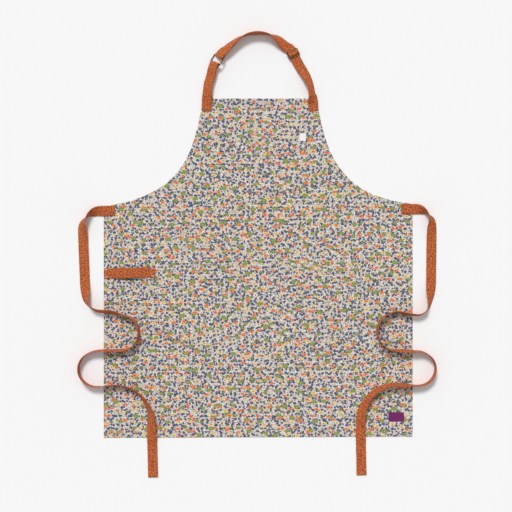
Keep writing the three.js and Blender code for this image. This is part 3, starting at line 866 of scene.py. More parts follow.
@dataclass(frozen=True)
class Signal:
    """A socket in a shader, with Python arithmetic that adds its nodes."""

    shader: "Shader"
    socket: bpy.types.NodeSocket

    def _math(
        self, operation: str, first: "Signal | float", second: "Signal | float | None" = None
    ) -> "Signal":
        """Adds a Math node of one operation."""
        values = {0: first} if second is None else {0: first, 1: second}
        return self.shader.node("ShaderNodeMath", {"operation": operation}, values)

    def __add__(self, other: "Signal | float") -> "Signal":
        """Sum."""
        return self._math("ADD", self, other)

    def __radd__(self, other: float) -> "Signal":
        """Sum with a number first."""
        return self._math("ADD", other, self)

    def __sub__(self, other: "Signal | float") -> "Signal":
        """Difference."""
        return self._math("SUBTRACT", self, other)

    def __rsub__(self, other: float) -> "Signal":
        """Difference from a number."""
        return self._math("SUBTRACT", other, self)

    def __mul__(self, other: "Signal | float") -> "Signal":
        """Product."""
        return self._math("MULTIPLY", self, other)

    def __rmul__(self, other: float) -> "Signal":
        """Product with a number first."""
        return self._math("MULTIPLY", other, self)

    def __truediv__(self, other: "Signal | float") -> "Signal":
        """Quotient."""
        return self._math("DIVIDE", self, other)

    def __lt__(self, other: "Signal | float") -> "Signal":
        """1 where this is below the other."""
        return self._math("LESS_THAN", self, other)

    def sine(self) -> "Signal":
        """Sine, in radians."""
        return self._math("SINE", self)

    def absolute(self) -> "Signal":
        """Size without sign."""
        return self._math("ABSOLUTE", self)

    def root(self) -> "Signal":
        """Square root."""
        return self._math("SQRT", self)

    def angle_from(self, other: "Signal") -> "Signal":
        """The angle whose tangent is this over the other."""
        return self._math("ARCTAN2", self, other)

    def ramp(self, start: float, end: float, low: float = 0.0, high: float = 1.0) -> "Signal":
        """A smooth ramp over a range, clamped at both ends."""
        settings = {"interpolation_type": "SMOOTHSTEP"}
        values = {0: self, 1: start, 2: end, 3: low, 4: high}
        return self.shader.node("ShaderNodeMapRange", settings, values)

    def part(self, output: str | int) -> "Signal":
        """Another output of the same node."""
        return Signal(self.shader, self.socket.node.outputs[output])


Colour = tuple[float, float, float]
Source = Signal | float | Sequence[float]


def srgb(red: float, green: float, blue: float) -> Colour:
    """A colour given in screen values from 0 to 255, as the linear values a shader takes."""
    value = np.array([red, green, blue], float) / 255
    linear = np.where(value <= 0.04045, value / 12.92, ((value + 0.055) / 1.055) ** 2.4)
    return tuple(float(x) for x in linear)


class Shader:
    """A material's node tree around one Principled shader."""

    def __init__(self, name: str) -> None:
        """Starts a material with a Principled shader and its output."""
        self.material = bpy.data.materials.new(name)
        self.material.use_nodes = True
        self.tree = self.material.node_tree
        self.tree.nodes.clear()
        self.surface = self.tree.nodes.new("ShaderNodeBsdfPrincipled")
        output = self.tree.nodes.new("ShaderNodeOutputMaterial")
        self.tree.links.new(self.surface.outputs[0], output.inputs["Surface"])

    def feed(self, socket: bpy.types.NodeSocket, value: Source) -> None:
        """Links a signal to a socket, or sets its value."""
        if isinstance(value, Signal):
            self.tree.links.new(value.socket, socket)
        elif socket.type == "RGBA":
            socket.default_value = (*value, 1.0) if len(value) == 3 else value
        else:
            socket.default_value = value

    def node(
        self, kind: str, settings: dict | None = None, values: dict | None = None, output: str | int = 0
    ) -> Signal:
        """Adds any node.

        Args:
            kind: The node's type.
            settings: Its own settings, set first; "stops" holds a ramp's places and colours.
            values: Socket names or numbers with a value or a signal.
            output: The output to read.

        Returns:
            The signal of that output.
        """
        made = self.tree.nodes.new(kind)
        for key, value in (settings or {}).items():
            if key == "stops":
                elements = made.color_ramp.elements
                while len(elements) < len(value):
                    elements.new(1.0)
                for element, (place, colour) in zip(elements, value):
                    element.position = place
                    element.color = (*colour, 1.0)
            else:
                setattr(made, key, value)
        for key, value in (values or {}).items():
            self.feed(made.inputs[key], value)
        return Signal(self, made.outputs[output])

    def coordinates(self) -> Signal:
        """Object coordinates in millimetres."""
        place = self.node("ShaderNodeTexCoord", output="Object")
        return self.vector("SCALE", place, scale=1 / MM)

    def mapped(self) -> Signal:
        """The piece's own map, in millimetres across and along."""
        place = self.node("ShaderNodeUVMap", {"uv_map": "weave"})
        return self.vector("SCALE", place, scale=1 / MM)

    def vector(
        self, operation: str, first: Source, second: Source | None = None, scale: float | None = None
    ) -> Signal:
        """Adds a Vector Math node."""
        values: dict = {0: first}
        if second is not None:
            values[1] = second
        if scale is not None:
            values["Scale"] = scale
        return self.node("ShaderNodeVectorMath", {"operation": operation}, values)

    def split(self, vector: Signal) -> tuple[Signal, Signal]:
        """The first two parts of a vector."""
        x = self.node("ShaderNodeSeparateXYZ", values={0: vector})
        return x, x.part(1)

    def noise(self, where: Signal, scale: float, detail: float = 2.0, output: str | int = 0) -> Signal:
        """Noise with a given number of cells in a millimetre."""
        values = {"Vector": where, "Scale": scale, "Detail": detail}
        return self.node("ShaderNodeTexNoise", values=values, output=output)

    def mix(self, factor: Source, first: Source, second: Source, blend: str = "MIX") -> Signal:
        """Mixes two colours."""
        settings = {"data_type": "RGBA", "blend_type": blend}
        return self.node("ShaderNodeMix", settings, {0: factor, 6: first, 7: second}, output=2)

    def finish(
        self,
        colour: Source,
        roughness: Source,
        height: Signal | None = None,
        depth: float = 0.0,
        metallic: float = 0.0,
        sheen: float = 0.0,
    ) -> bpy.types.Material:
        """Connects the finish to the Principled shader.

        Args:
            colour: Base colour.
            roughness: Roughness.
            height: Relief from 0 to 1.
            depth: What a relief of 1 stands for, in millimetres.
            metallic: Metallic.
            sheen: Sheen weight, the same all over.

        Returns:
            The material.
        """
        self.feed(self.surface.inputs["Base Color"], colour)
        self.feed(self.surface.inputs["Roughness"], roughness)
        self.surface.inputs["Metallic"].default_value = metallic
        self.surface.inputs["Sheen Weight"].default_value = sheen
        if height is not None:
            values = {"Height": height, "Distance": depth * MM, "Strength": 1.0}
            bump = self.node("ShaderNodeBump", values=values)
            self.feed(self.surface.inputs["Normal"], bump)
        return self.material


# Finishes


@dataclass(frozen=True)
class Motif:
    """One kind of printed motif: scattered on a jittered grid of its own pitch.

    Its outline is a radius that waves round its middle, squeezed upright by a ratio.
    """

    pitch: float
    radius: float
    squeeze: float
    petals: int
    wave: float
    presence: float
    turn: float
    colour: Colour
    deep: Colour
    heart: Colour
    heart_share: float
    seed: float


MOTIFS = (
    Motif(
        3.9, 1.0, 1.2, 4, 0.2, 0.85, 6.28,
        srgb(118, 122, 112), srgb(90, 94, 86), srgb(150, 150, 135), 0.0, 3.1,
    ),
    Motif(
        5.6, 1.75, 1.3, 5, 0.3, 0.75, 6.28,
        srgb(240, 178, 154), srgb(228, 148, 120), srgb(206, 110, 84), 0.3, 5.7,
    ),
    Motif(
        7.9, 1.9, 1.5, 4, 0.25, 0.5, 6.28,
        srgb(146, 150, 136), srgb(110, 114, 100), srgb(90, 92, 80), 0.3, 8.3,
    ),
    Motif(
        11.8, 3.75, 1.1, 5, 0.3, 0.9, 6.28,
        srgb(76, 92, 130), srgb(44, 58, 94), srgb(150, 162, 182), 0.24, 17.1,
    ),
    Motif(
        10.8, 3.3, 1.2, 4, 0.3, 0.85, 6.28,
        srgb(72, 88, 126), srgb(42, 56, 92), srgb(130, 142, 160), 0.2, 21.7,
    ),
    Motif(
        7.7, 1.9, 1.2, 4, 0.3, 0.55, 6.28,
        srgb(88, 102, 136), srgb(62, 76, 112), srgb(130, 142, 160), 0.0, 23.3,
    ),
    Motif(
        25.0, 3.9, 1.0, 6, 0.1, 0.85, 6.28,
        srgb(112, 108, 62), srgb(66, 70, 40), srgb(174, 164, 116), 0.42, 13.9,
    ),
    Motif(
        29.0, 7.6, 1.9, 7, 0.28, 0.8, 0.7,
        srgb(238, 216, 166), srgb(220, 186, 128), srgb(130, 104, 62), 0.24, 26.3,
    ),
    Motif(
        33.0, 7.8, 1.75, 2, 0.12, 0.85, 0.8,
        srgb(152, 164, 82), srgb(112, 130, 54), srgb(190, 188, 124), 0.25, 31.9,
    ),
    Motif(
        27.0, 6.9, 1.9, 5, 0.28, 0.8, 1.1,
        srgb(242, 152, 104), srgb(228, 116, 66), srgb(132, 70, 44), 0.24, 37.3,
    ),
)


@dataclass(frozen=True)
class PrintedCotton:
    """Plain-woven cotton with a small all-over flower print."""

    name: str
    shift: Point = (0.0, 0.0)
    ground: Colour = srgb(238, 234, 224)
    vine: Colour = srgb(150, 154, 140)
    weave_pitch: float = 0.62

    def motif(self, shader: Shader, where: Signal, kind: Motif, below: Signal) -> Signal:
        """Prints one kind of motif over what is below.

        Each cell's middle comes from a cell texture. The distance from it, turned and squeezed, is
        compared with a radius that waves with the angle.

        Args:
            shader: The material's nodes.
            where: Place on the cloth in millimetres.
            kind: The motif.
            below: The colour so far.

        Returns:
            The colour with the motif on it.
        """
        moved = shader.vector("ADD", where, (kind.seed * 7.3, kind.seed * 3.9, 0.0))
        cell_place = shader.vector("SCALE", moved, scale=1 / kind.pitch)
        settings = {"voronoi_dimensions": "2D"}
        values = {"Vector": cell_place, "Scale": 1.0, "Randomness": 0.8}
        cell = shader.node("ShaderNodeTexVoronoi", settings, values)
        local = shader.vector("SUBTRACT", cell_place, cell.part("Position"))
        local = shader.vector("SCALE", local, scale=kind.pitch)
        chance = shader.node("ShaderNodeSeparateColor", values={0: cell.part("Color")})
        turn = (chance - 0.5) * kind.turn
        settings = {"rotation_type": "Z_AXIS"}
        turned = shader.node("ShaderNodeVectorRotate", settings, {"Vector": local, "Angle": turn})
        x, y = shader.split(turned)
        tall = y * kind.squeeze
        distance = (x * x + tall * tall).root()
        angle = tall.angle_from(x)
        size = chance.part(2) * 0.35 + 0.8
        waved = (angle * (kind.petals / 2)).sine().absolute() * kind.wave + (1 - kind.wave)
        edge = waved * kind.radius * size
        inside = (edge - distance).ramp(-0.25, 0.3)
        present = chance.part(1) < kind.presence
        mask = inside * present
        depth = (distance / edge).ramp(0.25, 1.0)
        body = shader.mix(depth, kind.deep, kind.colour)
        if kind.heart_share > 0:
            heart = (edge * kind.heart_share - distance).ramp(-0.3, 0.25)
            body = shader.mix(heart, body, kind.heart)
        return shader.mix(mask, below, body)

    def material(self) -> bpy.types.Material:
        """Builds the material: ground, vines, motifs, weave and soft creases."""
        shader = Shader(self.name)
        place = shader.coordinates()
        flat = shader.vector("MULTIPLY", place, (1.0, 1.0, 0.0))
        where = shader.vector("ADD", flat, (*self.shift, 0.0))
        drift = shader.noise(where, 0.16, 2.0, output="Color")
        pulled = shader.vector("SCALE", shader.vector("SUBTRACT", drift, (0.5, 0.5, 0.5)), scale=2.6)
        inked = shader.vector("ADD", where, pulled)
        tone = shader.noise(where, 0.35, 3.0)
        colour = shader.mix(tone.ramp(0.35, 0.7), self.ground, srgb(214, 210, 198))
        settings = {"voronoi_dimensions": "2D", "feature": "DISTANCE_TO_EDGE"}
        vine_place = shader.vector("SCALE", inked, scale=1 / 7.5)
        vine_line = shader.node("ShaderNodeTexVoronoi", settings, {"Vector": vine_place, "Scale": 1.0})
        vine = vine_line.ramp(0.035, 0.1, 1.0, 0.0) * shader.noise(inked, 0.2, 1.0).ramp(0.42, 0.52)
        colour = shader.mix(vine * 0.85, colour, self.vine)
        for kind in MOTIFS:
            colour = self.motif(shader, inked, kind, colour)
        x, y = shader.split(where)
        beat = 2 * np.pi / self.weave_pitch
        warp, weft = (x * beat).sine(), (y * beat).sine()
        weave = (warp * weft) * 0.25 + 0.5
        slub = shader.noise(shader.vector("MULTIPLY", where, (0.25, 2.2, 0.0)), 1.0, 2.0)
        shade = weave * 0.08 + slub * 0.1 + 0.88
        grey = shader.node("ShaderNodeCombineColor", values={0: shade, 1: shade, 2: shade})
        colour = shader.mix(1.0, colour, grey, "MULTIPLY")
        crease = shader.noise(place, 0.02, 3.0)
        height = weave * 0.06 + slub * 0.05 + crease * 0.6
        return shader.finish(colour, weave * 0.06 + 0.84, height, 1.0, sheen=0.08)


@dataclass(frozen=True)
class RustWebbing:
    """Rust-orange cotton webbing in a fine twill, mottled by wear."""

    name: str = "rust_webbing"
    light: Colour = srgb(214, 116, 58)
    dark: Colour = srgb(132, 54, 18)

    def material(self) -> bpy.types.Material:
        """Builds the material from the strap's own map."""
        shader = Shader(self.name)
        place = shader.mapped()
        across, along = shader.split(place)
        rib = ((across + along * 0.55) * (2 * np.pi / 1.35)).sine() * 0.5 + 0.5
        pick = (along * (2 * np.pi / 0.7)).sine() * 0.5 + 0.5
        fuzz = shader.noise(place, 1.6, 3.0)
        cloudy = shader.noise(place, 0.09, 3.0)
        mottle = shader.noise(place, 0.3, 3.0)
        tone = rib * 0.3 + pick * 0.1 + fuzz * 0.25 + cloudy * 0.25 + (mottle - 0.5) * 2.4 + 0.05
        colour = shader.mix(tone.ramp(0.15, 0.85), self.dark, self.light)
        height = rib * 0.5 + pick * 0.2 + fuzz * 0.4
        return shader.finish(colour, 0.86, height, 0.22, sheen=0.04)


@dataclass(frozen=True)
class AntiqueBrass:
    """Dark antique brass, rubbed brighter in patches."""

    name: str = "antique_brass"

    def material(self) -> bpy.types.Material:
        """Builds the material."""
        shader = Shader(self.name)
        place = shader.coordinates()
        rubbed = shader.noise(place, 0.35, 4.0).ramp(0.4, 0.7)
        pitted = shader.noise(place, 2.5, 3.0)
        colour = shader.mix(rubbed, srgb(92, 78, 52), srgb(150, 130, 88))
        colour = shader.mix(pitted.ramp(0.55, 0.75), colour, srgb(60, 50, 34))
        return shader.finish(colour, rubbed * -0.12 + 0.42, pitted, 0.05, metallic=1.0)


@dataclass(frozen=True)
class WovenLabel:
    """A plain woven label, blank."""

    name: str
    colour: Colour
    thread: Colour

    def material(self) -> bpy.types.Material:
        """Builds the material over the label's plan."""
        shader = Shader(self.name)
        across, along = shader.split(shader.coordinates())
        warp = (across * (2 * np.pi / 0.55)).sine() * 0.5 + 0.5
        weft = (along * (2 * np.pi / 0.4)).sine() * 0.5 + 0.5
        fuzz = shader.noise(shader.coordinates(), 1.2, 3.0)
        colour = shader.mix((warp * weft + fuzz * 0.5) * 0.6, self.colour, self.thread)
        return shader.finish(colour, 0.72, warp * weft, 0.08, sheen=0.15)


@dataclass(frozen=True)
class SewingThread:
    """Twisted cotton thread."""

    name: str
    colour: Colour

    def material(self) -> bpy.types.Material:
        """Builds the material."""
        shader = Shader(self.name)
        place = shader.coordinates()
        twist = shader.noise(place, 2.2, 2.0)
        colour = shader.mix(twist, tuple(0.8 * c for c in self.colour), self.colour)
        return shader.finish(colour, 0.7, twist, 0.05, sheen=0.2)


def dress(piece: bpy.types.Object, material: bpy.types.Material) -> None:
    """Gives a piece its material, and lets it ride on the apron."""
    piece.data.materials.clear()
    piece.data.materials.append(material)
    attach(piece, ROOT)
    LOG.info("%s: %d faces", piece.name, len(piece.data.polygons))


@dataclass
class Finishes:
    """Every material of the apron, made once."""

    panel: bpy.types.Material = field(default_factory=lambda: PrintedCotton("printed_cotton").material())
    webbing: bpy.types.Material = field(default_factory=lambda: RustWebbing().material())
    brass: bpy.types.Material = field(default_factory=lambda: AntiqueBrass().material())
    white: bpy.types.Material = field(
        default_factory=lambda: WovenLabel(
            "white_label", srgb(240, 238, 232), srgb(250, 249, 246)
        ).material()
    )
    purple: bpy.types.Material = field(
        default_factory=lambda: WovenLabel("purple_label", srgb(106, 6, 88), srgb(124, 18, 104)).material()
    )
    seam_thread: bpy.types.Material = field(
        default_factory=lambda: SewingThread("seam_thread", srgb(206, 200, 186)).material()
    )
    rust_thread: bpy.types.Material = field(
        default_factory=lambda: SewingThread("rust_thread", srgb(166, 82, 42)).material()
    )
    white_thread: bpy.types.Material = field(
        default_factory=lambda: SewingThread("white_thread", srgb(244, 240, 232)).material()
    )


# Pieces of the apron


# The hem band's section: distance inwards, height, and how freely it puckers
HEM_SECTION = (
    (0.45, 0.02, 0.0),
    (-0.25, 0.35, 0.3),
    (-0.35, 0.95, 0.6),
    (0.0, 1.55, 0.8),
    (0.9, 1.84, 1.0),
    (4.5, 1.9, 1.0),
    (7.8, 1.84, 0.6),
    (8.6, 1.66, 0.0),
    (9.4, 1.82, 0.5),
    (10.5, 1.74, 0.4),
    (10.95, 1.42, 0.1),
    (10.8, 1.22, 0.0),
    (0.8, 1.2, 0.0),
)


@dataclass
class Panel:
    """The printed body with its hem band and hem stitches."""

    finishes: Finishes
    sizes: PanelSizes = PANEL
    stitch_inset: float = 8.6

    def grid(self) -> Array:
        """Plan points: each row runs from the left edge to the right edge, straight."""
        s = self.sizes
        low_left, low_right = OUTLINE.loop[0], OUTLINE.loop[1]
        share = np.linspace(0, 1, s.skirt_rows, endpoint=False)[:, None]
        left = np.vstack([low_left + (OUTLINE.left[0] - low_left) * share, OUTLINE.left])
        right = np.vstack([low_right + (OUTLINE.right[0] - low_right) * share, OUTLINE.right])
        across = np.linspace(0, 1, s.columns)[None, :, None]
        return left[:, None] * (1 - across) + right[:, None] * across

    def loop_points(self) -> Array:
        """The outline at an even fine spacing, closed, without its last point."""
        loop = np.vstack([OUTLINE.loop, OUTLINE.loop[:1]])
        pieces = [resample(loop[i : i + 2], 4.0)[:-1] for i in range(len(loop) - 1)]
        return np.vstack(pieces)

    def inset_loop(self, points: Array, distance: float) -> Array:
        """The outline moved inwards, with mitred corners."""
        before, after = np.roll(points, 1, axis=0), np.roll(points, -1, axis=0)
        turn = lambda way: np.stack([-way[:, 1], way[:, 0]], axis=1)
        first, second = turn(unit(points - before)), turn(unit(after - points))
        mitre = (first + second) / (1 + (first * second).sum(1, keepdims=True))
        return points + mitre * distance

    def build(self) -> list[bpy.types.Object]:
        """Makes the cloth, the hem and its stitches.

        Returns:
            The pieces, cloth first.
        """
        s = self.sizes
        plan = self.grid()
        low = np.full(plan.shape[:2], 0.02)
        cloth = build_object("printed_panel", cloth_shell(plan, low, low + s.cloth - 0.04))
        points = self.loop_points()
        travel = arc_lengths(np.vstack([points, points[:1]]))[:-1]
        pucker = ripple(travel, HEM_WAVES)
        rings = []
        for inward, height, free in HEM_SECTION:
            ring = self.inset_loop(points, inward)
            rings.append(np.column_stack([ring, height + free * pucker]))
        band = swept_tube(np.stack(rings, axis=1)[:, ::-1], closed=True)
        hem = build_object("turned_hem", band)
        seam = self.inset_loop(points, self.stitch_inset)
        seam = np.vstack([seam, seam[:1]])
        path = np.column_stack([seam, np.full(len(seam), s.hem_top - 0.1)])
        stitches = build_object("hem_stitches", Sewing().row(path, FACE_UP))
        dress(cloth, self.finishes.panel)
        dress(hem, self.finishes.panel)
        dress(stitches, self.finishes.seam_thread)
        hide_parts("apron_panel")
        return [cloth, hem, stitches]


@dataclass
class PatchPocket:
    """A patch pocket with a turned top hem and stitched sides."""

    node: str
    sizes: PocketSizes
    finishes: Finishes
    rows: int = 44
    columns: int = 41
    top_hem: float = 15.0
    hem_fold: float = 0.55
    hem_ramp: float = 0.8
    pressed: float = 0.2
    crown: float = 0.8
    opening: float = 1.15
    stitch_inset: float = 2.2

    def lower_edge(self, share: Array) -> Array:
        """Height of the lower edge at shares of the width, straight between its corners."""
        s = self.sizes
        return s.bottom + np.interp(share, s.edge_shares, s.edge_rise)

    def underside(self, plan: Array) -> Array:
        """Height of the pocket's underside over the table.

        It swells by a half sine across, raised to a power, times a ramp up towards the open top.

        Args:
            plan: Rows x columns x 2.

        Returns:
            Height of the underside at each point.
        """
        s = self.sizes
        across = (plan[..., 0] - s.left) / (s.right - s.left)
        lower = self.lower_edge(across)
        up = (plan[..., 1] - lower) / (s.top - lower)
        swell = np.sin(np.pi * np.clip(across, 0, 1)) ** self.crown * ease(up * self.opening)
        return PANEL.cloth + WEBBING.air + s.bulge * swell

    def build(self) -> bpy.types.Object:
        """Makes the pocket and its stitches.

        Returns:
            The pocket.
        """
        s = self.sizes
        corner = [share for share in s.edge_shares if 0 < share < 1]
        shares = np.unique(np.concatenate([np.linspace(0, 1, self.columns), corner]))
        hem_line = self.top_hem / (s.top - s.bottom)
        up = np.unique(np.concatenate([np.linspace(0, 1, self.rows), [1 - hem_line, 1 - hem_line + 0.004]]))
        lower = self.lower_edge(shares)
        x = np.broadcast_to(s.left + shares * (s.right - s.left), (len(up), len(shares)))
        y = lower[None] + up[:, None] * (s.top - lower)[None]
        plan = np.stack([x, y], axis=-1)
        low = self.underside(plan)
        in_hem = ease((y - (s.top - self.top_hem)) / self.hem_ramp)
        high = low + PANEL.cloth - self.pressed + self.hem_fold * in_hem
        pocket = build_object(f"{self.node}_cloth", cloth_shell(plan, low, high))
        dress(pocket, PrintedCotton(f"{self.node}_print", s.print_shift).material())
        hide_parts(self.node)
        stitches = build_object(f"{self.node}_stitches", MeshData.joined(self.seams(shares)))
        dress(stitches, self.finishes.seam_thread)
        return pocket

    def seams(self, shares: Array) -> list[MeshData]:
        """Stitches down one side, round the bottom and up the other, and along the top hem."""
        s = self.sizes
        inset = self.stitch_inset
        inner = shares[(shares > 0.02) & (shares < 0.98)]
        lower = self.lower_edge(inner)
        across = s.left + inner * (s.right - s.left)
        bottom = np.stack([across, lower + inset * 1.1], axis=1)
        first = [s.left + inset, s.top - 1.5]
        last = [s.right - inset, s.top - 1.5]
        start = [s.left + inset, self.lower_edge(np.array([0.012]))[0] + inset]
        end = [s.right - inset, start[1]]
        sides = resample(np.vstack([first, start, bottom, end, last]), 2.0)
        hem_y = s.top - self.top_hem + 1.2
        hem = resample(np.array([[s.left + 1, hem_y], [s.right - 1, hem_y]]), 2.0)
        sewing = Sewing()
        made = []
        for path, extra in ((sides, 0.0), (hem, self.hem_fold)):
            height = self.underside(path[:, None])[:, 0] + PANEL.cloth - self.pressed + extra
            above = (path[:, 1] - (s.top - self.top_hem)) / self.hem_ramp
            in_hem = self.hem_fold * ease(above) if extra == 0 else 0
            made.append(sewing.row(np.column_stack([path, height + in_hem]), FACE_UP))
        return made


@dataclass
class BlankLabel:
    """A small woven label, sewn down flat and left blank."""

    node: str
    material: bpy.types.Material
    slot: str
    thread: bpy.types.Material
    swell: float = 0.15
    pressed: float = 0.2
    inset: float = 1.6
    stitch_depth: float = 0.15

    def build(self) -> bpy.types.Object:
        """Makes the label over its solid's box, with a stitch row inside its edge.

        Returns:
            The label.
        """
        low, high = (np.array(corner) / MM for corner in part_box(self.node))
        x, y = np.meshgrid(np.linspace(low[0], high[0], 13), np.linspace(low[1], high[1], 11))
        plan = np.stack([x, y], axis=-1)
        share_x = (x - low[0]) / (high[0] - low[0])
        share_y = (y - low[1]) / (high[1] - low[1])
        bottom = low[2] + self.swell * np.sin(np.pi * share_x) * np.sin(np.pi * share_y)
        top = bottom + high[2] - low[2] - self.pressed
        label = build_object(f"{self.node}_cloth", cloth_shell(plan, bottom, top))
        dress(label, self.material)
        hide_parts(self.node)
        inset = self.inset
        corners = np.array(
            [
                [low[0] + inset, low[1] + inset],
                [high[0] - inset, low[1] + inset],
                [high[0] - inset, high[1] - inset],
                [low[0] + inset, high[1] - inset],
                [low[0] + inset, low[1] + inset],
            ]
        )
        path = resample(corners, 1.0)
        path = np.column_stack([path, np.full(len(path), high[2] - self.stitch_depth)])
        seam = Sewing(thread=0.35, length=1.7, gap=0.5).row(path, FACE_UP)
        stitches = build_object(f"{self.node}_stitches", seam)
        dress(stitches, self.thread)
        return label


def stitched_patch(strap: Strap, start: float, end: float, face: int, inset: float = 3.0) -> MeshData:
    """A stitched rectangle that holds a strap's end down.

    Args:
        strap: The webbing.
        start: Where the patch begins along it.
        end: Where the patch ends.
        face: The strap's upper face there.
        inset: Distance of the stitches from the edges.

    Returns:
        The stitches.
    """
    half = WEBBING.width / 2 - inset
    first, last = start + inset, end - inset
    corners = np.array([[first, -half], [last, -half], [last, half], [first, half], [first, -half]])
    path = resample(corners, 1.5)
    points = strap.point(path[:, 0], path[:, 1], face, 0.12)
    above = strap.point(path[:, 0], path[:, 1], face, 1.12)
    return Sewing(thread=0.45, length=2.3, gap=0.6).row(points, above - points)


@dataclass
class WaistTie:
    """A long webbing tie: sewn on the waist corner, then runs and bends to its folded end."""

    side: Side
    finishes: Finishes

    @property
    def node(self) -> str:
        """The solid that it stands for."""
        return f"waist_tie_{self.side.name.lower()}"

    def route(self) -> tuple[Array, Array]:
        """Plan points and rolls from the sewn end to the free end.

        Returns:
            The points, and the roll at each.
        """
        side = self.side.value
        tilt = np.radians(TIE_TILT)
        height = side * PANEL.waist_rise - TIE_DROP + TIE_PATCH * np.tan(tilt)
        place = np.array([PANEL.skirt_half_width - TIE_PATCH, height])
        heading, travelled = -tilt, 0.0
        points: list[Array] = []
        marks: list[float] = []
        at, roll = [0.0, TIE_PATCH], [0.0, 0.0]

        def advance(length: float, turn: float) -> None:
            """Travels a length in even steps, turning half before and half after each."""
            nonlocal place, heading, travelled
            steps = max(1, int(np.floor(length / WEBBING.step + 0.5)))
            for _ in range(steps):
                points.append(np.array([side * place[0], place[1]]))
                marks.append(travelled)
                heading -= turn / steps / 2
                place = place + np.array([np.cos(heading), np.sin(heading)]) * length / steps
                heading -= turn / steps / 2
                travelled += length / steps

        advance(TIE_PATCH, 0.0)
        for bend in TIE_BENDS[self.side]:
            turn = np.radians(bend.turn)
            arc = abs(turn) * bend.radius * TIE_LENGTH
            if bend.run > 0:
                advance(bend.run * TIE_LENGTH, 0.0)
            at.append(travelled)
            roll.append(bend.start)
            if arc > 0:
                advance(arc, turn)
                at.extend([travelled - arc / 2, travelled])
                roll.extend([bend.middle, bend.end])
        points.append(np.array([side * place[0], place[1]]))
        marks.append(travelled)
        return np.array(points), steady_curve(at, roll, np.array(marks))

    def build(self) -> bpy.types.Object:
        """Makes the tie and its stitches.

        Returns:
            The tie.
        """
        path, roll = self.route()
        frames = lay_down(path, roll, WEBBING.thickness, -self.side.value)
        strap = Strap(frames.at, frames.across)
        face = -self.side.value
        end = strap.length
        tie = build_object(f"{self.node}_webbing", strap.mesh([(end - WEBBING.end_fold, end, -1)]))
        dress(tie, self.finishes.webbing)
        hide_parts(self.node)
        half = WEBBING.width / 2 - 1.5
        across = np.linspace(-half, half, 24)
        along = np.full(len(across), end - WEBBING.end_fold + 2.5)
        line = strap.point(along, across, -1, WEBBING.end_fold_rise + 0.05)
        above = strap.point(along, across, -1, WEBBING.end_fold_rise + 1.05)
        sewing = Sewing(thread=0.45, length=2.3, gap=0.6)
        seams = [stitched_patch(strap, 0.0, TIE_PATCH, face), sewing.row(line, above - line)]
        stitches = build_object(f"{self.node}_stitches", MeshData.joined(seams))
        dress(stitches, self.finishes.rust_thread)
        return tie


@dataclass(frozen=True)
class Seat:
    """A straight bed for a strap: its middle, travel, width and face direction."""

    at: Array
    along: Array
    across: Array
    up: Array

    def place(self, distance: Array | float, height: Array | float = 0.0) -> Array:
        """Points along the seat and over it."""
        along = np.atleast_1d(distance)[:, None]
        rise = np.broadcast_to(height, len(along))[:, None]
        return self.at + self.along * along + self.up * rise

    @property
    def roll(self) -> float:
        """Degrees that its width is turned up."""
        return float(np.degrees(np.arcsin(self.across[2])))


def wire_loop(length: float, width: float, corner: float, wire: float, sides: int = 16) -> Array:
    """Rings of a round wire along a rounded rectangle.

    Each corner is a quarter circle, and each ring turns in the plane of the radius and the normal.

    Args:
        length: Extent along X between the wire's middles.
        width: Extent along Y.
        corner: Corner radius of the middle.
        wire: Wire diameter.
        sides: Points round the wire.

    Returns:
        Rings x sides x 3.
    """
    steps = 9
    quarter, step = np.divmod(np.arange(4 * (steps + 1)), steps + 1)
    turn = (quarter + step / steps) * np.pi / 2
    sign_x = np.array([1, -1, -1, 1])[quarter]
    sign_y = np.array([1, 1, -1, -1])[quarter]
    level = np.zeros(len(turn))
    out = np.stack([np.cos(turn), np.sin(turn), level], axis=1)
    middle = np.stack([sign_x * (length / 2 - corner), sign_y * (width / 2 - corner), level], axis=1)
    middle = middle + out * corner
    angle = np.arange(sides) * 2 * np.pi / sides
    normal = np.array([0.0, 0.0, 1.0])
    section = -np.cos(angle)[:, None, None] * out[None] + np.sin(angle)[:, None, None] * normal
    return middle[:, None] + np.swapaxes(section, 0, 1) * wire / 2


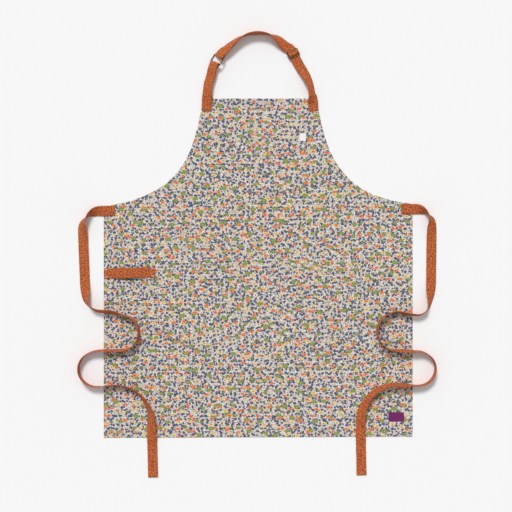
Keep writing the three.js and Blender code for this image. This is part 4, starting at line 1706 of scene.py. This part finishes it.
class NeckLoop:
    """The doubled neck strap with its slider, the short strap and the ring between them."""

    fold_opening = 14.0

    def __init__(self, finishes: Finishes) -> None:
        """Works out the two fittings' seats."""
        self.finishes = finishes
        web, fit = WEBBING, FITTING
        self.fold_radius = fit.ring_wire / 2 + web.air + web.thickness / 2
        self.fold_slack = web.width / 2 * np.tan(fit.ring_skew) + 0.1
        self.bar_height = web.layer_offset + web.thickness / 2 + web.air + fit.slider_wire / 2
        self.wrap_radius = fit.slider_wire / 2 + web.air + web.thickness / 2
        self.ring_width = web.width / np.cos(fit.ring_skew) + 2 * fit.ring_slack + fit.ring_wire
        self.slider_width = web.width + 2 * fit.slider_slack + fit.slider_wire
        roll = np.radians(SLIDER_POSE.roll)
        slider_height = web.width / 2 * np.sin(roll) + web.double_pack / 2 * np.cos(roll)
        self.slider = self.pose(SLIDER_POSE, slider_height)
        roll = np.radians(RING_POSE.roll)
        fold = web.width / 2 * np.sin(roll) + (self.fold_radius + web.thickness / 2) * np.cos(roll)
        wire = self.ring_width / 2 * np.sin(roll) + fit.ring_wire / 2
        self.ring = self.pose(RING_POSE, max(fold, wire))

    @staticmethod
    def plan(across: float, up: float) -> Array:
        """A plan place on the loop from its shares."""
        return np.array([PANEL.bib_shift + across * NECK_HALF_SPAN, PANEL.bib_height + up * NECK_RISE])

    def pose(self, pose: FittingPose, height: float) -> Seat:
        """A seat at a fitting's place, heading and roll, its middle at a height."""
        turn, tilt = np.radians(pose.heading), np.radians(pose.roll)
        along = np.array([np.cos(turn), np.sin(turn), 0.0])
        level = np.array([-along[1], along[0], 0.0])
        across = level * np.cos(tilt) + np.array([0.0, 0.0, np.sin(tilt)])
        at = np.append(self.plan(pose.across, pose.up), height + WEBBING.settle)
        return Seat(at, along, across, np.cross(along, across))

    def ring_seat(self, towards: int) -> Seat:
        """The bed of a folded strap on one bar of the ring, skewed a little in the ring's plane."""
        angle = towards * FITTING.ring_skew
        spin = lambda v: v * np.cos(angle) + np.cross(self.ring.up, v) * np.sin(angle)
        at = self.ring.at + self.ring.along * towards * FITTING.ring_length / 2
        return Seat(at, spin(self.ring.along) * -towards, spin(self.ring.across), self.ring.up)

    def patch(self, side: Side, pack: float) -> StrapFrames:
        """The sewn patch on the bib, up to its top edge, without its last place."""
        start, end, roll = self.sewn_end(side)
        share = np.linspace(0, 1, int(round(NECK_PATCH / WEBBING.step)) + 1)
        path = start[:2] + (end - start)[:2] * share[:, None]
        frames = lay_down(path, roll * ease(2 * share - 1), pack, side.value)
        return StrapFrames(frames.at[:-1], frames.across[:-1], frames.up[:-1], frames.along[:-1])

    def sewn_end(self, side: Side) -> tuple[Array, Array, float]:
        """The bib's top edge at a strap: a place before it, the place and the roll."""
        x = PANEL.bib_shift + side.value * NECK_HALF_SPAN
        lean = NECK_PATCH * np.tan(np.radians(PATCH_LEAN[side]))
        before = np.array([x + side.value * lean, PANEL.bib_height - NECK_PATCH, 0.0])
        return before, np.array([x, PANEL.bib_height, 0.0]), SEWN_ROLL[side]

    @staticmethod
    def seat_end(seat: Seat, distance: float, beyond: float) -> tuple[Array, Array, float]:
        """Where a route meets a seat: the place further in, the place and the roll."""
        return seat.place(distance + beyond)[0], seat.place(distance)[0], seat.roll

    def frames_between(
        self,
        rows: Sequence[Station],
        start: tuple[Array, Array, float],
        end: tuple[Array, Array, float],
        handed: int,
        pack: tuple[float, float, float],
    ) -> StrapFrames:
        """Frames through stations from one seat to the next.

        The plan is a centripetal curve, the roll a steady curve over it, and the pack grows from
        its first value to its second over the last part of the way, a share of one over the third.
        The height is eased to both seats over a third of the way.

        Args:
            rows: The stations.
            start: Place before the first, the first, and its roll.
            end: Place after the last, the last, and its roll.
            handed: As lay_down takes it.
            pack: First pack, last pack and how sharply it grows.

        Returns:
            The frames.
        """
        stations = [self.plan(row.across, row.up) for row in rows]
        points = np.array([start[0][:2], start[1][:2], *stations, end[1][:2], end[0][:2]])
        pieces = len(points) - 1
        places: list[Array] = []
        for piece in range(1, pieces - 1):
            length = np.linalg.norm(points[piece + 1] - points[piece])
            steps = max(2, int(np.floor(length / WEBBING.step + 0.5)))
            places.append(piece + np.arange(steps) / steps)
        where = np.append(np.concatenate(places), pieces - 1.0)
        rolls = [start[2], *(r.roll for r in rows), end[2]]
        roll = steady_curve(np.arange(1, pieces), rolls, where)
        share = (where - 1) / (pieces - 2)
        grown = pack[0] + (pack[1] - pack[0]) * ease(pack[2] * share - (pack[2] - 1))
        frames = lay_down(spline_through(points, where), roll, grown, handed)
        first = (start[1][2] or frames.at[0, 2]) - frames.at[0, 2]
        last = end[1][2] - frames.at[-1, 2]
        line = np.linspace(0, 1, len(frames.at))
        frames.at[:, 2] += first * (1 - ease(3 * line)) + last * ease(3 * line - 2)
        return frames

    def spread(self, distance: Array) -> Array:
        """Half the distance between two layers, opening towards the fold."""
        opening = ease(1 - (distance - self.fold_slack) / self.fold_opening)
        return WEBBING.layer_offset + (self.fold_radius - WEBBING.layer_offset) * opening

    def ring_run(self) -> Array:
        """Distances along a ring seat, from its start to the fold."""
        start = -RING_SEAT
        steps = max(2, int(np.floor((self.fold_slack - start) / WEBBING.step + 0.5)))
        return np.linspace(start, self.fold_slack, steps + 1)

    def fold(self, seat: Seat, up: Array) -> Array:
        """The half turn round the ring's bar, clear of it by the fold's slack."""
        angle = np.linspace(np.pi / 2, -np.pi / 2, 9)[:, None]
        middle = seat.at + seat.along * self.fold_slack
        return middle + (seat.along * np.cos(angle) + up * np.sin(angle)) * self.fold_radius

    def long_strap(self) -> Strap:
        """The long strap: bib, slider, arc, round the ring and back under to the slider's bar."""
        web = WEBBING
        offset = web.layer_offset
        seat = self.ring_seat(-1)
        patch = self.patch(Side.RIGHT, web.thickness)
        into = self.seat_end(self.slider, -SLIDER_SEAT, SEAT_PULL)
        riser = self.frames_between(
            STRAP_ROUTE, self.sewn_end(Side.RIGHT), into, 1, (web.thickness, web.double_pack, 3.0)
        )
        lift = offset * ease(3 * np.linspace(0, 1, len(riser.at)) - 2)
        rise_at, rise_across = riser.lifted(lift)
        half_slider = FITTING.slider_length / 2
        foot, level = 0.88 * half_slider, 0.34 * half_slider
        top = self.bar_height + self.wrap_radius + web.thickness + web.air
        hump = np.concatenate([[-SLIDER_SEAT], np.linspace(-foot, foot, 23)])
        over = offset + (top - offset) * ease((foot - np.abs(hump)) / (foot - level))
        hump_at = self.slider.place(hump, over)
        out = self.seat_end(self.slider, SLIDER_SEAT, -SEAT_PULL)
        ring_start = self.seat_end(seat, -RING_SEAT, SEAT_PULL)
        fold_pack = 2 * self.fold_radius + web.thickness
        arc = self.frames_between(ARC_ROUTE, out, ring_start, 1, (web.double_pack, fold_pack, 8.0))
        arc_up, arc_across = arc.lifted(offset)
        arc_down, _ = arc.lifted(-offset)
        run = self.ring_run()
        gap = self.spread(self.fold_slack - run)
        face = np.cross(seat.along, seat.across)
        bed = Seat(seat.at, seat.along, seat.across, face)
        upper, lower = bed.place(run, gap)[1:-1], bed.place(run, -gap)[1:-1]
        back = np.linspace(0, SLIDER_SEAT, max(2, int(np.floor(SLIDER_SEAT / web.step + 0.5))) + 1)
        back = back[(back > self.wrap_radius) & (back < SLIDER_SEAT)][::-1]
        climb = (self.bar_height - self.wrap_radius + offset) * ease((foot - back) / foot)
        under = self.slider.place(back, climb - offset)
        angle = -np.pi / 2 - np.linspace(0, 1.55 * np.pi, 11)
        wrap_height = self.bar_height + self.wrap_radius * np.sin(angle)
        wrap = self.slider.place(self.wrap_radius * np.cos(angle), wrap_height)
        flat = lambda rows, across: np.broadcast_to(across, rows.shape)
        fold = self.fold(seat, self.ring.up)
        at = [patch.at, rise_at[:-1], hump_at, arc_up, upper, fold, lower[::-1], arc_down[::-1], under, wrap]
        across = [
            patch.across,
            rise_across[:-1],
            flat(hump_at, self.slider.across),
            arc_across,
            flat(upper, seat.across),
            flat(fold, seat.across),
            flat(lower, seat.across),
            arc_across[::-1],
            flat(under, self.slider.across),
            flat(wrap, self.slider.across),
        ]
        return Strap(np.vstack(at), np.vstack(across))

    def short_strap(self) -> Strap:
        """The short strap: both ends on the bib, folded round the ring's other bar."""
        web = WEBBING
        offset = web.layer_offset
        ring = self.ring_seat(1)
        seat = Seat(ring.at, ring.along, ring.across, np.cross(ring.along, ring.across))
        end = self.seat_end(seat, -RING_SEAT, SEAT_PULL)
        fold_pack = 2 * self.fold_radius + web.thickness
        patch = self.patch(Side.LEFT, web.double_pack)
        riser = self.frames_between(
            STUB_ROUTE,
            self.sewn_end(Side.LEFT),
            end,
            -1,
            (web.double_pack, fold_pack, 3.0),
        )
        riser = StrapFrames.square(riser.at, riser.across)
        run = self.ring_run()
        gap = self.spread(self.fold_slack - run)

        def layer(face: int) -> tuple[Array, Array]:
            """One of the two layers, from the bib to the ring."""
            places = [
                patch.at + patch.up * face * offset,
                riser.lifted(face * offset)[0][:-1],
                seat.place(run, face * gap)[:-1],
            ]
            widths = [patch.across, riser.across[:-1], np.broadcast_to(seat.across, (len(run) - 1, 3))]
            return np.vstack(places), np.vstack(widths)

        first_at, first_across = layer(1)
        last_at, last_across = layer(-1)
        fold = self.fold(seat, seat.up)
        at = np.vstack([first_at, fold, last_at[::-1]])
        across = np.vstack([first_across, np.broadcast_to(seat.across, fold.shape), last_across[::-1]])
        return Strap(at, across)

    def placed(self, rings: Array, seat: Seat, lift: float) -> Array:
        """Rings about the origin moved into a seat."""
        turned = rings @ np.stack([seat.along, seat.across, seat.up])
        return turned + seat.at + seat.up * lift

    def build(self) -> list[bpy.types.Object]:
        """Makes both straps, their stitches, the ring and the slider.

        Returns:
            The four main pieces.
        """
        fit = FITTING
        long, short = self.long_strap(), self.short_strap()
        strap = build_object("neck_strap_webbing", long.mesh())
        stub = build_object("neck_stub_webbing", short.mesh())
        for piece, node in ((strap, "neck_strap"), (stub, "neck_stub")):
            dress(piece, self.finishes.webbing)
            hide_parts(node)
        seams = MeshData.joined(
            [
                stitched_patch(long, 0.0, NECK_PATCH, 1),
                stitched_patch(short, short.length - NECK_PATCH, short.length, 1),
            ]
        )
        stitches = build_object("neck_strap_stitches", seams)
        dress(stitches, self.finishes.rust_thread)
        ring_rings = wire_loop(fit.ring_length, self.ring_width, fit.ring_corner, fit.ring_wire)
        ring = build_object("brass_ring", swept_tube(self.placed(ring_rings, self.ring, 0.0), closed=True))
        loop = wire_loop(fit.slider_length, self.slider_width, fit.slider_corner, fit.slider_wire)
        angle = np.arange(16) * 2 * np.pi / 16
        reach = np.linspace(-self.slider_width / 2, self.slider_width / 2, 9)
        bar = np.stack(
            [
                np.broadcast_to(-np.cos(angle) * fit.slider_wire / 2, (9, 16)),
                np.broadcast_to(reach[:, None], (9, 16)),
                np.broadcast_to(np.sin(angle) * fit.slider_wire / 2, (9, 16)),
            ],
            axis=-1,
        )
        parts = [
            swept_tube(self.placed(loop, self.slider, self.bar_height), closed=True),
            swept_tube(self.placed(bar, self.slider, self.bar_height)),
        ]
        slider = build_object("brass_slider", MeshData.joined(parts))
        for piece, node in ((ring, "neck_ring"), (slider, "neck_slider")):
            dress(piece, self.finishes.brass)
            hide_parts(node)
        return [strap, stub, ring, slider]


@dataclass
class TowelLoop:
    """A length of webbing tacked down at both ends on the skirt."""

    finishes: Finishes
    length: float = 129.5
    drop: float = 172.2
    rise: float = 2.9
    bow: float = 6.0
    end: float = 12.0
    ramp: float = 34.0
    inset: float = 0.6
    tack_from_end: float = 5.5
    tack_from_edge: float = 3.4
    tack_length: float = 6.5
    tack_width: float = 2.0

    def build(self) -> bpy.types.Object:
        """Makes the loop with its four white bar tacks.

        Returns:
            The loop.
        """
        travelled = np.linspace(0, self.length, int(round(self.length / WEBBING.step)) + 1)
        from_end = np.minimum(travelled, self.length - travelled) - self.end
        base = PANEL.hem_top + WEBBING.air + WEBBING.thickness / 2
        z = base + self.bow * ease(from_end / self.ramp)
        x = travelled + self.inset - PANEL.skirt_half_width
        y = self.rise * (travelled / self.length - 0.5) - self.drop
        at = np.stack([x, y, z], axis=1)
        strap = Strap(at, np.broadcast_to([0.0, 1.0, 0.0], at.shape))
        loop = build_object("towel_loop_webbing", strap.mesh())
        dress(loop, self.finishes.webbing)
        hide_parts("towel_loop")
        tacks = []
        half = WEBBING.width / 2 - self.tack_from_edge
        sewing = Sewing(thread=0.5)
        for along in (self.tack_from_end, strap.length - self.tack_from_end):
            for across in (-half, half):
                spot = np.array([along])
                middle = strap.point(spot, np.array([across]), 1, 0.1)[0]
                way = unit(strap.point(spot + 1, np.array([across]), 1, 0.1)[0] - middle)
                tacks.append(sewing.tack(middle, way, FACE_UP[0], self.tack_length, self.tack_width))
        stitches = build_object("towel_loop_tacks", MeshData.joined(tacks))
        dress(stitches, self.finishes.white_thread)
        return loop


# Studio


@dataclass
class Studio:
    """A pale floor, a soft key from above the bib and a camera straight overhead."""

    camera_middle: tuple[float, float] = (-5.6, -129.5)
    camera_height: float = 2500.0
    view_width: float = 1300.5
    key_direction: tuple[float, float, float] = (0.22, -0.78, -1.0)
    key_strength: float = 2.2
    key_angle: float = 16.0
    sky_strength: float = 0.45

    def camera(self) -> None:
        """Adds the camera, looking straight down with the neck at the top."""
        data = bpy.data.cameras.new("overhead")
        data.sensor_width = 36.0
        data.lens = 36.0 * self.camera_height / self.view_width
        data.clip_end = 50.0
        camera = bpy.data.objects.new("overhead", data)
        camera.location = (*(c * MM for c in self.camera_middle), self.camera_height * MM)
        bpy.context.scene.collection.objects.link(camera)
        bpy.context.scene.camera = camera
        bpy.context.scene.view_settings.view_transform = "Standard"

    def floor(self) -> None:
        """Adds the floor, a flat sheet of paper wider than any view."""
        mesh = bpy.data.meshes.new("paper_floor")
        reach, height = 30.0, -0.0003
        ways = ((-1, -1), (1, -1), (1, 1), (-1, 1))
        corners = [(x * reach, y * reach, height) for x, y in ways]
        mesh.from_pydata(corners, [], [(0, 1, 2, 3)])
        floor = bpy.data.objects.new("paper_floor", mesh)
        bpy.context.scene.collection.objects.link(floor)
        shader = Shader("paper_floor")
        mesh.materials.append(shader.finish(srgb(247, 247, 247), 0.95))

    def lights(self) -> None:
        """Adds a soft sun and an even pale sky."""
        data = bpy.data.lights.new("window", "SUN")
        data.energy = self.key_strength
        data.angle = np.radians(self.key_angle)
        sun = bpy.data.objects.new("window", data)
        sun.rotation_euler = Vector(self.key_direction).to_track_quat("-Z", "Y").to_euler()
        bpy.context.scene.collection.objects.link(sun)
        world = bpy.data.worlds.new("sky")
        world.use_nodes = True
        background = world.node_tree.nodes["Background"]
        background.inputs["Color"].default_value = (1.0, 1.0, 1.0, 1.0)
        background.inputs["Strength"].default_value = self.sky_strength
        bpy.context.scene.world = world


def main() -> None:
    """Loads the frame, builds and dresses every piece, and hands the scene over."""
    logging.basicConfig(level=logging.INFO, format="%(name)s: %(message)s")
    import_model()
    studio = Studio()
    studio.camera()
    finishes = Finishes()
    Panel(finishes).build()
    PatchPocket("bib_pocket", BIB_POCKET, finishes).build()
    for side in Side:
        PatchPocket(f"skirt_pocket_{side.name.lower()}", skirt_pocket(side), finishes).build()
    BlankLabel("pocket_tag", finishes.white, "white_label", finishes.white_thread).build()
    BlankLabel("hem_label", finishes.purple, "purple_label", finishes.purple).build()
    TowelLoop(finishes).build()
    NeckLoop(finishes).build()
    for side in Side:
        WaistTie(side, finishes).build()
    studio.floor()
    studio.lights()


if __name__ == "__main__":
    main()
